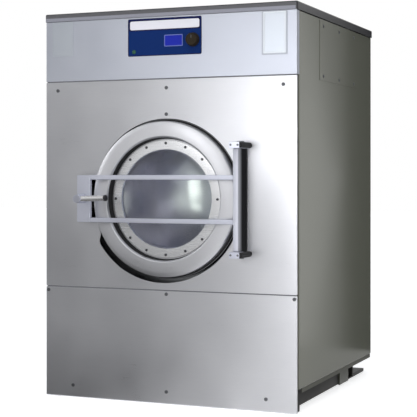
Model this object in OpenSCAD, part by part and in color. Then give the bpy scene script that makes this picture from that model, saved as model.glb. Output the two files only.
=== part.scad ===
// Front-loading washer-extractor: cabinet, door, drum, drive and water circuit.
// Pieces are drawn from the cabinet's front face (y = 0, +Y to the rear) and then
// moved so that the origin is at the centre of the footprint, on the floor.

/* [Cabinet] */
// Width over the front panels
cab_w = 910; // [900:2:940]
// Height to the top of the lid
cab_h = 1312; // [1308:1:1340]
// Depth from the front face to the rear edge of the side panels
cab_d = 893; // [891:1:930]
// Thickness of the cabinet sheets
skin_t = 1.5; // [1:0.1:2]
// Height of the lid's edge
lid_h = 27; // [22:1:34]
// How far the lid stands out past the panels
lid_over = 3; // [1:0.5:6]
// Height of the control panel
control_h = 207; // [200:1:216]
// Distance from the drum's axis down to the seam above the service panel
service_drop = 303; // [298:1:330]
// Width of the seams between the front panels
seam = 3; // [1.5:0.5:5]
// Depth of the folded edges of the door and service panels
panel_fold = 6; // [4:0.5:9]
// Distance from the front face to the side panels' front edge
side_start = 22; // [16:1:28]
// Width of the side panels' folded flanges
flange_w = 22; // [18:1:26]

/* [Frame] */
// Distance from the cabinet's side to the posts' outer faces
post_inset = 12; // [9:0.5:15]
// Width of the posts
post_w = 40; // [34:1:46]
// Depth of the front posts
post_d = 55.5; // [48:0.5:60]
// Depth of the rear posts
rear_post_d = 32; // [26:1:38]
// Wall of the posts
post_t = 3; // [2:0.5:4]
// Distance from the cabinet's side to the base rails
rail_inset = 38; // [34:1:44]
// Width of the base rails' flanges
rail_w = 60; // [52:1:70]
// Height of the base frame
rail_h = 75; // [68:1:78]
// Plate thickness of the base frame
rail_t = 5; // [4:0.5:7]
// Height of the sill lips under the side panels
sill_drop = 15; // [10:1:22]
// Depth of the rear base beam
beam_d = 78; // [70:1:86]
// How far the foot plate reaches behind the rear base beam
foot_reach = 154.5; // [140:0.5:170]
// Thickness of the foot plate
foot_t = 12; // [8:1:16]
// Length of the plates on the rails ahead of the rear base beam
leg_len = 109; // [80:1:130]
// Thickness of those plates
leg_t = 6; // [4:0.5:9]
// Diameter of the foundation bolt holes
anchor_d = 18; // [14:0.5:22]
// Distance from the rails' outer faces to the foundation bolt holes
anchor_side = 32; // [28:1:36]
// Distance from the front face to the front foundation bolt holes
anchor_front = 140; // [110:1:180]
// Distance from the foot plate's rear edge to its bolt holes
anchor_edge = 60; // [40:1:80]

/* [Tub] */
// Height of the drum's axis as a share of the cabinet's height
axis_share = 0.5183; // [0.515:0.0005:0.522]
// Gap between the tub and the shelf above it
shelf_gap = 7; // [5:0.5:12]
// Gap between the tub and the edges of the plates that carry it
tub_side = 44; // [40:1:50]
// Thickness of the tub's sheets
tub_t = 3; // [2:0.5:4]
// Depth that the posts, the plates and the drive take from the cabinet's depth
drive_room = 237; // [236:1:245]
// Thickness of the tub's front plate
front_t = 4; // [3:0.5:5]
// Thickness of the bulkhead behind the tub
bulk_t = 10; // [8:0.5:12]
// Inner radius of the loading neck
neck_r = 215; // [212:0.5:218]
// Thickness of the loading neck
neck_t = 3; // [2:0.5:4]
// Distance from the front face to the neck's front edge
neck_start = 12; // [10:0.5:16]
// Width of the plates that carry the tub, less than the cabinet on each side
plate_inset = 20; // [18:0.5:24]

/* [Drum] */
// Gap between the drum and the tub's inside
drum_side = 18; // [14:1:28]
// Thickness of the drum's sheet
drum_t = 3; // [2:0.5:4]
// Gap between the tub's front and the drum
drum_gap = 20; // [15:0.5:24]
// Gap between the drum and the bulkhead, with the spider's arms in it
spider_gap = 26; // [24:0.5:34]
// Radius of the drum's mouth
mouth_r = 222; // [219:0.5:228]
// Height of the lifters
lifter_h = 70; // [50:1:85]
// Width of the lifters at the wall
lifter_w = 96; // [80:1:120]
// Number of lifters
lifter_n = 3; // [3:1:4]
// Radius of the drum's shaft
shaft_r = 30; // [26:0.5:34]
// Thickness of the spider arms behind the drum
spider_t = 10; // [8:0.5:12]
// Width of the spider arms
spider_w = 70; // [50:1:90]

/* [Drive] */
// Length of the bearing housing behind the bulkhead
housing_len = 80; // [76:1:84]
// Radius of the bearing housing
housing_r = 80; // [74:1:88]
// Radius of the bearings
bearing_r = 55; // [48:1:62]
// Width of each bearing
bearing_w = 27; // [22:1:30]
// Radius of the drum pulley
pulley_r = 225; // [200:1:235]
// Radius of the motor pulley
motor_pulley_r = 45; // [40:1:52]
// Width of both pulleys
pulley_w = 50; // [48:0.5:54]
// Gap between the bearing housing and the drum pulley
pulley_gap = 10; // [8:0.5:13]
// Number of belts
belt_n = 3; // [2:1:3]
// Width of each belt
belt_w = 13; // [10:0.5:14]
// Height of each belt
belt_h = 9; // [7:0.5:11]
// Radius of the motor
motor_r = 95; // [85:1:100]
// Length of the motor
motor_len = 270; // [240:1:300]
// Sideways distance of the motor from the drum's axis
motor_x = 180; // [165:1:190]
// Height of the motor's shaft above its mounting plate
motor_lift = 107; // [104:1:112]
// Radius of the motor's shaft
motor_shaft_r = 19; // [15:0.5:22]
// Thickness of the motor's mounting plate
mount_t = 8; // [6:0.5:10]

/* [Door] */
// Outer radius of the door ring
door_r = 257; // [252:0.5:260]
// Radius of the round inner edge of the door ring's face
lip_r = 203; // [200:0.5:206]
// How far the door ring stands out from the front face
ring_h = 26; // [22:0.5:28]
// Sheet thickness of the door ring
ring_t = 3; // [2:0.5:4]
// Radius of the glass that shows inside the clamp ring
glass_r = 164; // [158:0.5:166]
// Outer radius of the clamp ring
clamp_r = 195; // [192:0.5:196]
// Thickness of the clamp ring
clamp_t = 4; // [3:0.5:5]
// Pitch circle radius of the clamp ring's screws
clamp_pcr = 184.5; // [183:0.5:187]
// Number of clamp ring screws
clamp_n = 16; // [12:1:24]
// Radius of the clamp screws' heads
clamp_head_r = 4.5; // [4:0.25:5]
// Thickness of the door glass
glass_t = 8; // [6:0.5:9]
// Depth of the door glass behind the clamp ring
bowl_depth = 104; // [80:1:112]
// Radius of the panel's cut-out round the door
cut_r = 272.5; // [268:0.5:276]
// How far the cut-out's centre lies below the drum's axis
cut_drop = 5; // [0:0.5:8]
// How far the cut-out's centre lies to the left of the drum's axis
cut_shift = 3; // [0:0.5:5]
// Outer radius of the door gasket
gasket_r = 265; // [262:0.5:266]
// Inner radius of the door gasket
gasket_in = 213; // [212:0.5:214]

/* [Hinge and yoke] */
// Distance of the hinge axis from the drum's axis, to the right
hinge_x = 280; // [278:0.5:286]
// Distance of the hinge axis in front of the front face
hinge_y = 44; // [42:0.5:48]
// Radius of the hinge post
post_r = 24; // [20:0.5:26]
// Length of the hinge post
post_len = 328; // [310:1:340]
// Height of the hinge brackets
bracket_h = 20; // [16:0.5:26]
// Width of the hinge brackets
bracket_w = 45; // [40:1:52]
// How far the hinge brackets stand out from the front face
bracket_reach = 88; // [80:1:96]
// Radius of the hinge pins
pin_r = 8; // [6:0.5:10]
// How far the hinge pins enter the post
pin_in = 25; // [18:1:32]
// Running clearance round pins, shafts and spindles
run_gap = 0.05; // [0.02:0.01:0.08]
// Height over both yoke bars
yoke_h = 158; // [150:1:170]
// Height of each yoke bar
bar_h = 15.5; // [12:0.5:20]
// Thickness of the yoke
bar_t = 12; // [8:0.5:14]
// How far the yoke's face stands out from the front face
yoke_reach = 55; // [52:0.5:58]
// Distance of the handle's axis from the drum's axis, to the left
lock_x = 280; // [279:0.5:284]
// Width of the yoke plate that carries the handle
plate_w = 50; // [44:1:54]
// Radius of the studs between yoke and door ring
stud_r = 7; // [5:0.5:7.5]

/* [Handle and lock] */
// Radius of the handle's hub
hub_r = 14; // [12:0.5:18]
// How far the hub stands out from the front face
hub_reach = 105; // [98:0.5:112]
// Radius of the handle's rod
rod_r = 10; // [8:0.5:12]
// Length of the rod from the hub's axis
rod_len = 99; // [80:1:120]
// Radius of the cap on the rod's end
cap_r = 10.5; // [9:0.5:13]
// Length of that cap
cap_len = 12; // [8:1:20]
// Upward tilt of the rod at rest, in degrees
rod_tilt = 2; // [0:0.5:6]
// Radius of the handle's spindle
spindle_r = 8; // [6:0.5:9]
// Reach of the locking cam from the spindle's axis
cam_reach = 18; // [16:0.5:21]
// Width of the locking cam
cam_w = 10; // [8:0.5:12]
// Thickness of the locking cam
cam_t = 8; // [6:0.5:10]
// Distance from the front face to the locking cam
cam_start = 28; // [27.5:0.5:34]
// Thickness of the receiver plate in front of the cam
receiver_t = 5; // [3:0.5:6]
// Radius of the electric lock's bolt
bolt_r = 5; // [4:0.25:5.5]
// Travel of the electric lock's bolt
bolt_travel = 8; // [5:0.5:9]

/* [Controls] */
// Width of the control overlay
overlay_w = 268; // [256:1:276]
// Height of the control overlay
overlay_h = 125; // [110:1:128]
// Thickness of the control overlay
overlay_t = 0.8; // [0.5:0.1:1.5]
// Distance of the overlay's middle from the cabinet's middle, to the left
overlay_shift = 7; // [0:1:20]
// Gap between the lid and the overlay
overlay_top = 5; // [3:1:12]
// Width of the display window
window_w = 67; // [60:1:74]
// Height of the display window
window_h = 39; // [34:1:44]
// Radius of the control knob
knob_r = 23; // [18:0.5:24]
// Height of the control knob
knob_h = 17; // [12:0.5:22]
// Radius of the encoder's shaft
encoder_r = 3; // [2.5:0.25:4]
// Travel of the knob when it is pushed
push = 1.5; // [1:0.25:1.75]
// Radius of the status lamp's lens
lamp_r = 7; // [5:0.5:9]

/* [Access cover and screws] */
// Distance from the front face to the access cover
cover_start = 240; // [200:1:280]
// Length of the access cover
cover_len = 450; // [420:1:500]
// Radius of the panel screws' heads
head_r = 6; // [5:0.5:7]
// Height of the panel screws' heads
head_h = 3; // [2:0.25:4]

/* [Water] */
// Outer radius of the drain pipe
drain_r = 38; // [34:0.5:40]
// Wall of the drain pipe
drain_t = 3; // [2:0.5:4]
// Height of the drain outlet's axis
drain_z = 125; // [122:1:132]
// How far the drain outlet stands out behind the cabinet
drain_reach = 47; // [35:1:60]
// Distance from the sump to the bulkhead
sump_back = 121; // [106:1:150]
// Height of the drain valve
valve_h = 70; // [60:1:74]
// Thickness of the drain valve's disc
disc_t = 4; // [3:0.5:6]
// Radius of the water inlet threads
inlet_r = 13.2; // [10:0.1:16]
// How far the water inlets stand out behind the cabinet
inlet_reach = 30; // [20:1:40]
// Radius of the cable gland's bore
gland_r = 9; // [6:0.5:12]

/* [Hidden] */
$fn = 96;

// Cabinet planes
half = cab_w / 2;
side_out = half - skin_t;
side_in = side_out - skin_t;
top_z = cab_h - lid_h;
control_z = top_z - control_h;
door_z = round(cab_h * axis_share);
service_h = door_z - service_drop;
post_out = half - post_inset;
post_in = post_out - post_w;
post_end = panel_fold + post_d;
rail_out = half - rail_inset;
anchor_x = 2 * (rail_out - anchor_side);
plate_half = half - plate_inset;
// Tub, drum and drive, front to rear
tub_r = min(control_z - door_z - shelf_gap, plate_half - tub_side);
drum_r = tub_r - tub_t - drum_side;
tub_front_end = post_end + front_t;
tub_len = cab_d - drive_room;
bulk_y = tub_front_end + tub_len;
bulk_end = bulk_y + bulk_t;
beam_y = bulk_y - rear_post_d;
beam_end = beam_y + beam_d;
foot_end = beam_end + foot_reach;
drum_y = tub_front_end + drum_gap;
drum_len = tub_len - drum_gap - spider_gap;
drum_end = drum_y + drum_len;
housing_end = bulk_end + housing_len;
pulley_y = housing_end + pulley_gap;
pulley_end = pulley_y + pulley_w;
rear_y = cab_d - skin_t;
rear_split = door_z + pulley_r + 15;
rear_half = side_out - flange_w / 2;
louvre_n = 8;
louvre_w = 260;
louvre_pitch = 14;
louvre_x = 210;
louvre_z = 240;
front_y = (hub_reach - max(foot_end, cab_d + drain_reach)) / 2;
// Small allowances that several pieces share
eps = 0.01;
seat_gap = 0.3;
pass_gap = 3;
// Door
step_r = clamp_pcr - clamp_head_r - 1.5;
ledge_r = glass_r + 2;
ring_back = glass_t + ring_t;
bowl_r = ledge_r - 3;
face_in = 2;
edge_round = 14;
screw_shank = 2.5;
stud_z = (yoke_h - bar_h) / 2;
stud_x = sqrt(pow((door_r + lip_r) / 2, 2) - pow(stud_z, 2));
stud_end = ring_h + 4;
bar_back = yoke_reach - bar_t;
plate_right = plate_w / 2 - lock_x;
plate_left = -plate_w / 2 - lock_x;
// Handle
rod_y = hub_reach - rod_r - 3;
hub_back = yoke_reach + seat_gap;
cam_end = cam_start + cam_t;
receiver_end = cam_start - 1;
bolt_y = receiver_end + bolt_r + 0.5;
bolt_z = door_z - cam_w / 2 - bolt_r - 3;
lock_right = -lock_x - cam_reach - 2;
lock_left = -post_in + 8;
lock_h = 90;
bolt_len = 40;
// Drive
motor_z = rail_h + mount_t + motor_lift;
motor_end = bulk_y - 20;
groove_pitch = (pulley_w - 2) / belt_n;
belt_clear = 0.4;
belt_dx = -motor_x;
belt_dz = motor_z - door_z;
belt_span = norm([belt_dx, belt_dz]);
belt_dir = atan2(belt_dz, belt_dx);
foot_bolt_x = 60;
foot_bolt_r = 7;
seal_len = 8;
motor_step = 12;
motor_nose = 25;
motor_foot = 75;
motor_foot_front = 40;
motor_foot_rear = 60;
motor_foot_drop = 40;
terminal_half = 45;
terminal_front = 60;
terminal_len = 100;
bearing_front = bulk_end + 4;
bearing_rear = housing_end - bearing_w - 4;
housing_front = bulk_y - 10;
// Water
sump_at = bulk_y - sump_back;
sump_top = door_z - tub_r + tub_t;
valve_top = sump_top - tub_t - 33;
valve_z = valve_top - valve_h / 2;
disc_gap = 0.6;
disc_shaft_r = 5;
valve_wall = 14;
actuator_len = 84;
actuator_half = 30;
shaft_left = 10;
shaft_right = 30;
fill_r = 20;
fill_t = 3;
fill_in = 20;
fill_y = sump_at - 60;
fill_z = control_z + 60;
boss_h = 4;
inlet_z = fill_z + 30;
inlet_x = 60;
valve_block_w = 190;
valve_block_d = 45;
valve_block_back = 45;
valve_block_over = 25;
solenoid_r = 18;
solenoid_h = 40;
inverter_x = 120;
inverter_w = 240;
inverter_y = 300;
inverter_d = 300;
inverter_h = 130;
fin_pitch = 26;
fin_t = 4;
fin_h = 20;
block_y = rear_y - valve_block_back - valve_block_d;
gland_side = 142.5;
gland_x = gland_side - rear_half;
gland_z = control_z + 110;
// Controls
overlay_x0 = -overlay_shift - overlay_w / 2;
overlay_z0 = top_z - overlay_top - overlay_h;
window_x0 = -overlay_shift;
window_z0 = overlay_z0 + 29;
knob_x = overlay_x0 + overlay_w - 30;
knob_z = overlay_z0 + 48;
lamp_x = overlay_x0 + 23;
lamp_z = overlay_z0 + 15;
shelf_t = 2;
shelf_lip = 20;
shelf_start = 10;
board_y = 20;
board_left = 50;
board_low = 30;
board_more = 35;
label_top = 2;
right_label_w = 87;
right_label_h = 140;
right_label_side = 32;
left_label_w = 80;
left_label_h = 118;
left_label_side = 25;
board_t = 1.6;
knob_back = overlay_t + push + 0.5;
// Screw places on the front panels, [x, z]
door_screws = [
    [-409, control_z - 30], [0, control_z - 30], [409, control_z - 30],
    [0, door_z + cut_r + 8]
];
service_screws = [
    [9 - half, service_h - 12], [0, service_h - 12], [half - 9, service_h - 12],
    [-350, 42], [0, 42], [350, 42]
];
cover_z0 = control_z - 1;
cover_z1 = top_z - 2;
cover_screws = [
    for (y = [40, cover_len / 2, cover_len - 40])
        for (z = [cover_z0 + 15, cover_z1 - 22]) [cover_start + y, z]
];
bracket_screws = [
    for (x = [-1, 1]) for (z = [-1, 1])
        [hinge_x + x * bracket_w / 3, door_z + z * (post_len + bracket_h + 1) / 2]
];

// Middle of a belt groove along Y
function groove_at(i) = pulley_y + 1 + (i + 0.5) * groove_pitch;

// Points of an arc from angle a0 to a1 round [cx, cy]
function arc(cx, cy, r, a0, a1, n) =
    [for (i = [0:n]) [cx + r * cos(a0 + (a1 - a0) * i / n), cy + r * sin(a0 + (a1 - a0) * i / n)]];

// Moves a piece from the front face's frame to the part's frame
module placed() {
    translate([0, front_y, 0]) children();
}

// Box between two corners
module span(lo, hi) {
    translate(lo) cube(hi - lo);
}

module both_sides() {
    children();
    mirror([1, 0, 0]) children();
}

// Rod along Y from y0 to y1
module y_rod(r, y0, y1, x = 0, z = 0) {
    translate([x, y0, z]) rotate([-90, 0, 0]) cylinder(r = r, h = y1 - y0);
}

// Rod along X from x0 to x1
module x_rod(r, x0, x1, y = 0, z = 0) {
    translate([x0, y, z]) rotate([0, 90, 0]) cylinder(r = r, h = x1 - x0);
}

// Solid turned round the drum's axis from an outline of [radius, y] points
module turned(points) {
    translate([0, 0, door_z]) rotate([-90, 0, 0]) rotate_extrude($fn = 180) polygon(points);
}

// Folded sheet with its four edges turned to the rear
module folded_panel(z0, z1, side_depth) {
    difference() {
        span([-half, 0, z0], [half, side_depth, z1]);
        span([skin_t - half, skin_t, z0 + skin_t], [half - skin_t, side_depth + 1, z1 - skin_t]);
        span([skin_t - half, panel_fold, z0 - 1], [half - skin_t, side_depth + 1, z1 + 1]);
    }
}

// Channel of the base frame, open towards the middle
module rail() {
    difference() {
        span([rail_out - rail_w, post_end, 0], [rail_out, beam_y, rail_h]);
        span([rail_out - rail_w - 1, post_end - 1, rail_t],
             [rail_out - rail_t, beam_y + 1, rail_h - rail_t]);
        translate([anchor_x / 2, anchor_front, -1]) cylinder(d = anchor_d, h = rail_t + 2);
    }
}

module base_rail_left() {
    color("#3A3B36") placed() mirror([1, 0, 0]) rail();
}

module base_rail_right() {
    color("#3A3B36") placed() rail();
}

module base_beams() {
    color("#26282B") placed() {
        difference() {
            span([-post_in, panel_fold + 6, 0], [post_in, post_end, rail_h]);
            span([-post_in - 1, panel_fold + 6 + rail_t, rail_t],
                 [post_in + 1, post_end + 1, rail_h - rail_t]);
        }
        difference() {
            span([-rail_out, beam_y, 0], [rail_out, beam_end, rail_h]);
            span([-rail_out - 1, beam_y + rail_t, rail_t],
                 [rail_out + 1, beam_end - rail_t, rail_h - rail_t]);
        }
        both_sides()
            span([rail_out, beam_y - leg_len, 0], [rail_out + leg_t, beam_y, rail_h - sill_drop]);
    }
}

module rear_foot_plate() {
    color("#1C1D1F") placed() difference() {
        union() {
            span([-rail_out, beam_end, 0], [rail_out, foot_end, foot_t]);
            span([-rail_out, beam_end, 0], [rail_out, beam_end + rail_t, rail_h - 2]);
        }
        both_sides() translate([anchor_x / 2, foot_end - anchor_edge, -1])
            cylinder(d = anchor_d, h = foot_t + 2);
    }
}

module cabinet_sills() {
    color("#6A6B66") placed() both_sides() {
        span([rail_out, post_end, rail_h - 2], [side_in - 1, cab_d - 2, rail_h]);
        span([side_in - 3, post_end, rail_h - sill_drop], [side_in - 1, cab_d - 2, rail_h - 2]);
    }
}

// Upright square tube
module post(y0, y1, z0) {
    difference() {
        span([post_in, y0, z0], [post_out, y1, top_z]);
        span([post_in + post_t, y0 + post_t, z0 - 1], [post_out - post_t, y1 - post_t, top_z + 1]);
    }
}

module front_posts() {
    color("#2B2C2A") placed() both_sides() post(panel_fold, post_end, 0);
}

module rear_posts() {
    color("#2B2C2A") placed() both_sides() post(beam_y, bulk_y, rail_h);
}

module side_panel() {
    span([side_in, side_start, rail_h], [side_out, cab_d, top_z]);
    span([post_out, side_start, rail_h], [side_out, side_start + skin_t, top_z]);
    span([side_out - flange_w, rear_y, rail_h], [side_out, cab_d, top_z]);
    for (z = [rail_h, top_z - skin_t])
        span([post_out, side_start, z], [side_out, cab_d, z + skin_t]);
}

module side_panel_left() {
    color("#6E6F68") placed() mirror([1, 0, 0]) side_panel();
}

module side_panel_right() {
    color("#6E6F68") placed() side_panel();
}

module access_cover() {
    color("#77787A") placed() difference() {
        span([side_out, cover_start, cover_z0], [half, cover_start + cover_len, cover_z1]);
        for (p = cover_screws) x_rod(screw_shank + 0.2, side_out - 1, half + 1, p[0], p[1]);
    }
}

module top_cover() {
    color("#3A3A3C") placed() difference() {
        span([-half - lid_over, -lid_over, top_z], [half + lid_over, cab_d + lid_over, cab_h]);
        span([skin_t - half - lid_over, skin_t - lid_over, top_z + skin_t],
             [half + lid_over - skin_t, cab_d + lid_over - skin_t, cab_h - skin_t]);
        span([-post_in, post_end, top_z - 1], [post_in, cab_d - flange_w, top_z + skin_t + 1]);
    }
}

module control_panel() {
    color("#C3C6D2") placed() difference() {
        folded_panel(control_z + seam / 2, top_z, side_start - 0.5);
        y_rod(encoder_r + 1, -1, skin_t + 1, knob_x, knob_z);
        y_rod(lamp_r / 2 + 0.3, -1, skin_t + 1, lamp_x, lamp_z);
        span([window_x0 + 3, -1, window_z0 + 3],
             [window_x0 + window_w - 3, skin_t + 1, window_z0 + window_h - 3]);
    }
}

// Way through the panel for the handle's spindle and cam, joined to the cut-out
module lock_notch(y0, y1, r, slot_w) {
    y_rod(r, y0, y1, -lock_x, door_z);
    span([-lock_x - slot_w / 2, y0, door_z - cam_reach - 4],
         [-lock_x + slot_w / 2, y1, door_z]);
}

module door_panel() {
    color("#BFC0C4") placed() difference() {
        folded_panel(service_h + seam / 2, control_z - seam / 2, panel_fold);
        y_rod(cut_r, -1, skin_t + 1, -cut_shift, door_z - cut_drop, $fn = 180);
        lock_notch(-1, skin_t + 1, spindle_r + 6, cam_w + 14);
        for (p = door_screws) y_rod(screw_shank + 0.2, -1, skin_t + 1, p[0], p[1]);
    }
}

module service_panel() {
    color("#B5B5B8") placed() difference() {
        folded_panel(skin_t, service_h - seam / 2, panel_fold);
        for (p = service_screws) y_rod(screw_shank + 0.2, -1, skin_t + 1, p[0], p[1]);
    }
}

module rear_panel() {
    color("#A8A9AB") placed() difference() {
        span([-rear_half, rear_y - skin_t, rear_split + seam / 2],
             [rear_half, rear_y, top_z - skin_t - 1]);
        for (x = [-inlet_x, inlet_x]) y_rod(inlet_r + 9, rear_y - 3, rear_y + 1, x, inlet_z);
        y_rod(gland_r + 5.2, rear_y - 3, rear_y + 1, gland_x, gland_z);
    }
}

module drive_cover() {
    color("#A8A9AB") placed() difference() {
        span([-rear_half, rear_y - skin_t, rail_h + skin_t + 1],
             [rear_half, rear_y, rear_split - seam / 2]);
        y_rod(drain_r + pass_gap, rear_y - 3, rear_y + 1, 0, drain_z);
        for (i = [0:louvre_n - 1]) for (s = [-1, 1])
            span([s * louvre_x - louvre_w / 2, rear_y - 3, louvre_z + i * louvre_pitch],
                 [s * louvre_x + louvre_w / 2, rear_y + 1, louvre_z + 5 + i * louvre_pitch]);
    }
}

// Pan-head screw with a hexagon socket, head towards -Y, shank to +Y
module screw(head, height, shank_r, shank_len) {
    difference() {
        y_rod(head, -height, 0, $fn = 32);
        translate([0, -height - eps, 0]) rotate([-90, 0, 0])
            cylinder(r = head / 2, h = height * 0.6, $fn = 6);
    }
    if (shank_len > 0) y_rod(shank_r, -eps, shank_len, $fn = 24);
}

module panel_screws() {
    color("#8B8C90") placed() {
        for (p = concat(door_screws, service_screws))
            translate([p[0], 0, p[1]]) screw(head_r, head_h, screw_shank, panel_fold - 0.5);
        for (p = cover_screws)
            translate([half, p[0], p[1]]) rotate([0, 0, 90])
                screw(head_r, head_h / 2, screw_shank, skin_t - eps);
        for (p = bracket_screws)
            translate([p[0], -bracket_reach, p[1]]) screw(head_r - 1, head_h - 1, 1, 0);
    }
}

module control_overlay() {
    color("#16306E") placed() difference() {
        span([overlay_x0, -overlay_t, overlay_z0],
             [overlay_x0 + overlay_w, 0, overlay_z0 + overlay_h]);
        y_rod(encoder_r + 1, -overlay_t - 1, 1, knob_x, knob_z);
        y_rod(lamp_r / 2 + 0.3, -overlay_t - 1, 1, lamp_x, lamp_z);
        span([window_x0 + 3, -overlay_t - 1, window_z0 + 3],
             [window_x0 + window_w - 3, 1, window_z0 + window_h - 3]);
    }
}

module display_window() {
    color("#3333BB") placed() difference() {
        span([window_x0, -overlay_t - 1.4, window_z0],
             [window_x0 + window_w, -overlay_t, window_z0 + window_h]);
        span([window_x0 + 4, -overlay_t - 2, window_z0 + 4],
             [window_x0 + window_w - 4, -overlay_t - 0.9, window_z0 + window_h - 4]);
    }
}

module control_board() {
    color("#2E6B45") placed() difference() {
        union() {
            span([window_x0 - board_left, board_y, window_z0 - board_low],
                 [knob_x + board_more, board_y + board_t, window_z0 + window_h + board_more]);
            for (x = [window_x0 - board_left + 8, knob_x + board_more - 8])
                for (z = [window_z0 - board_low + 8, window_z0 + window_h + board_more - 8])
                    y_rod(4, skin_t, board_y + eps, x, z);
            span([window_x0 + 5, skin_t + 1, window_z0 + 5],
                 [window_x0 + window_w - 5, board_y + eps, window_z0 + window_h - 5]);
            span([knob_x - 8, 6, knob_z - 8], [knob_x + 8, board_y + eps, knob_z + 8]);
        }
        y_rod(encoder_r + run_gap, 5, board_y - 1, knob_x, knob_z);
    }
}

module status_lamp() {
    color("#22503F") placed() {
        y_rod(lamp_r, -overlay_t - 3, -overlay_t, lamp_x, lamp_z);
        y_rod(lamp_r / 2, -overlay_t - eps, 12, lamp_x, lamp_z);
    }
}

// Thin plate with a raised border, its place for a label left bare
module label_plate(x0, x1, z0, z1, t) {
    difference() {
        span([x0, -t, z0], [x1, 0, z1]);
        span([x0 + 8, -t - 1, z0 + 5], [x1 - 8, -t / 2, z1 - 5]);
    }
}

module label_plates() {
    color("#DDE0EA") placed() {
        label_plate(half - right_label_side - right_label_w, half - right_label_side,
                    top_z - label_top - right_label_h, top_z - label_top, 1.6);
        label_plate(left_label_side - half, left_label_side + left_label_w - half,
                    top_z - label_top - left_label_h, top_z - label_top, 0.8);
    }
}

module equipment_shelf() {
    color("#8E9094") placed() difference() {
        union() {
            span([-post_in, side_start + shelf_start, control_z - shelf_t],
                 [post_in, bulk_y, control_z]);
            both_sides()
                span([post_in - shelf_t, side_start + shelf_start, control_z],
                     [post_in, bulk_y, control_z + shelf_lip]);
        }
        translate([0, fill_y, control_z - shelf_t - 1])
            cylinder(r = fill_r + pass_gap, h = shelf_t + 2);
    }
}

module inverter_box() {
    color("#55585C") placed() {
        span([inverter_x, inverter_y, control_z],
             [inverter_x + inverter_w, inverter_y + inverter_d, control_z + inverter_h]);
        for (x = [inverter_x + 10:fin_pitch:inverter_x + inverter_w - 10])
            span([x, inverter_y + 20, control_z + inverter_h - eps],
                 [x + fin_t, inverter_y + inverter_d - 20, control_z + inverter_h + fin_h]);
    }
}

module inlet_valves() {
    color("#E4E2D8") placed() difference() {
        union() {
            span([-valve_block_w / 2, block_y, fill_z - valve_block_over],
                 [valve_block_w / 2, rear_y - valve_block_back, inlet_z + valve_block_over]);
            for (x = [-inlet_x, inlet_x]) {
                y_rod(inlet_r, rear_y - valve_block_back - 1, cab_d + inlet_reach, x, inlet_z);
                y_rod(inlet_r + 8, rear_y - valve_block_back - 1, cab_d, x, inlet_z);
                translate([x, block_y + valve_block_d / 2, inlet_z + valve_block_over - 1])
                    cylinder(r = solenoid_r, h = solenoid_h);
            }
        }
        for (x = [-inlet_x, inlet_x])
            y_rod(inlet_r - 3, rear_y - 30, cab_d + inlet_reach + 1, x, inlet_z);
    }
}

module fill_pipe() {
    color("#3C3F44") placed() difference() {
        union() {
            translate([0, fill_y, door_z + tub_r + boss_h])
                cylinder(r = fill_r, h = fill_z - door_z - tub_r - boss_h);
            translate([0, fill_y, fill_z]) sphere(r = fill_r);
            y_rod(fill_r, fill_y, block_y, 0, fill_z);
        }
        translate([0, fill_y, door_z + tub_r])
            cylinder(r = fill_r - fill_t, h = fill_z - door_z - tub_r);
        translate([0, fill_y, fill_z]) sphere(r = fill_r - fill_t);
        y_rod(fill_r - fill_t, fill_y, block_y + 1, 0, fill_z);
    }
}

module cable_gland() {
    color("#202124") placed() difference() {
        union() {
            y_rod(gland_r + 5, rear_y - 12, cab_d + 20, gland_x, gland_z);
            translate([gland_x, cab_d - skin_t, gland_z]) rotate([-90, 0, 0])
                cylinder(r = gland_r + 10, h = 9, $fn = 6);
            translate([gland_x, rear_y - skin_t - 8, gland_z]) rotate([-90, 0, 0])
                cylinder(r = gland_r + 10, h = 8, $fn = 6);
        }
        y_rod(gland_r, rear_y - 13, cab_d + 21, gland_x, gland_z);
    }
}

module tub_shell() {
    color("#A5A7AB") placed() difference() {
        union() {
            y_rod(tub_r, tub_front_end, bulk_y, 0, door_z, $fn = 180);
            translate([0, sump_at, valve_top]) cylinder(r = drain_r + 6, h = 60);
            translate([0, fill_y, door_z + tub_r - fill_in])
                cylinder(r = fill_r, h = fill_in + boss_h);
        }
        y_rod(tub_r - tub_t, tub_front_end - 1, bulk_y + 1, 0, door_z, $fn = 180);
        translate([0, sump_at, valve_top - 1]) cylinder(r = drain_r, h = 80);
        translate([0, fill_y, door_z + tub_r - 2 * fill_in])
            cylinder(r = fill_r - fill_t, h = 3 * fill_in);
    }
}

module tub_front() {
    color("#A5A7AB") placed() difference() {
        union() {
            span([-plate_half, post_end, door_z - tub_r - 2],
                 [plate_half, tub_front_end, door_z + tub_r + 2]);
            y_rod(neck_r + neck_t, neck_start, tub_front_end, 0, door_z, $fn = 180);
        }
        y_rod(neck_r, neck_start - 1, tub_front_end + 1, 0, door_z, $fn = 180);
    }
}

module rear_bulkhead() {
    color("#4A4C4F") placed() difference() {
        span([-plate_half, bulk_y, rail_h], [plate_half, bulk_end, control_z - 2 * shelf_t]);
        y_rod(housing_r + 0.1, bulk_y - 1, bulk_end + 1, 0, door_z);
        y_rod(motor_shaft_r + 10, bulk_y - 1, bulk_end + 1, -motor_x, motor_z);
        y_rod(drain_r + pass_gap, bulk_y - 1, bulk_end + 1, 0, drain_z);
    }
}

module door_gasket() {
    color("#151518") placed() turned([
        [gasket_in, seat_gap + 3], [gasket_in + 3, seat_gap], [door_r - 4, seat_gap],
        [door_r - 1, seat_gap + 2], [gasket_r - 2, seat_gap + 2], [gasket_r, seat_gap + 5],
        [gasket_r, neck_start - 2], [gasket_r - 4, neck_start], [neck_r + neck_t + 9, neck_start],
        [neck_r + neck_t + 7, neck_start + 14], [neck_r + neck_t, neck_start + 14],
        [neck_r + neck_t, neck_start], [gasket_in, neck_start]
    ]);
}

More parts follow.
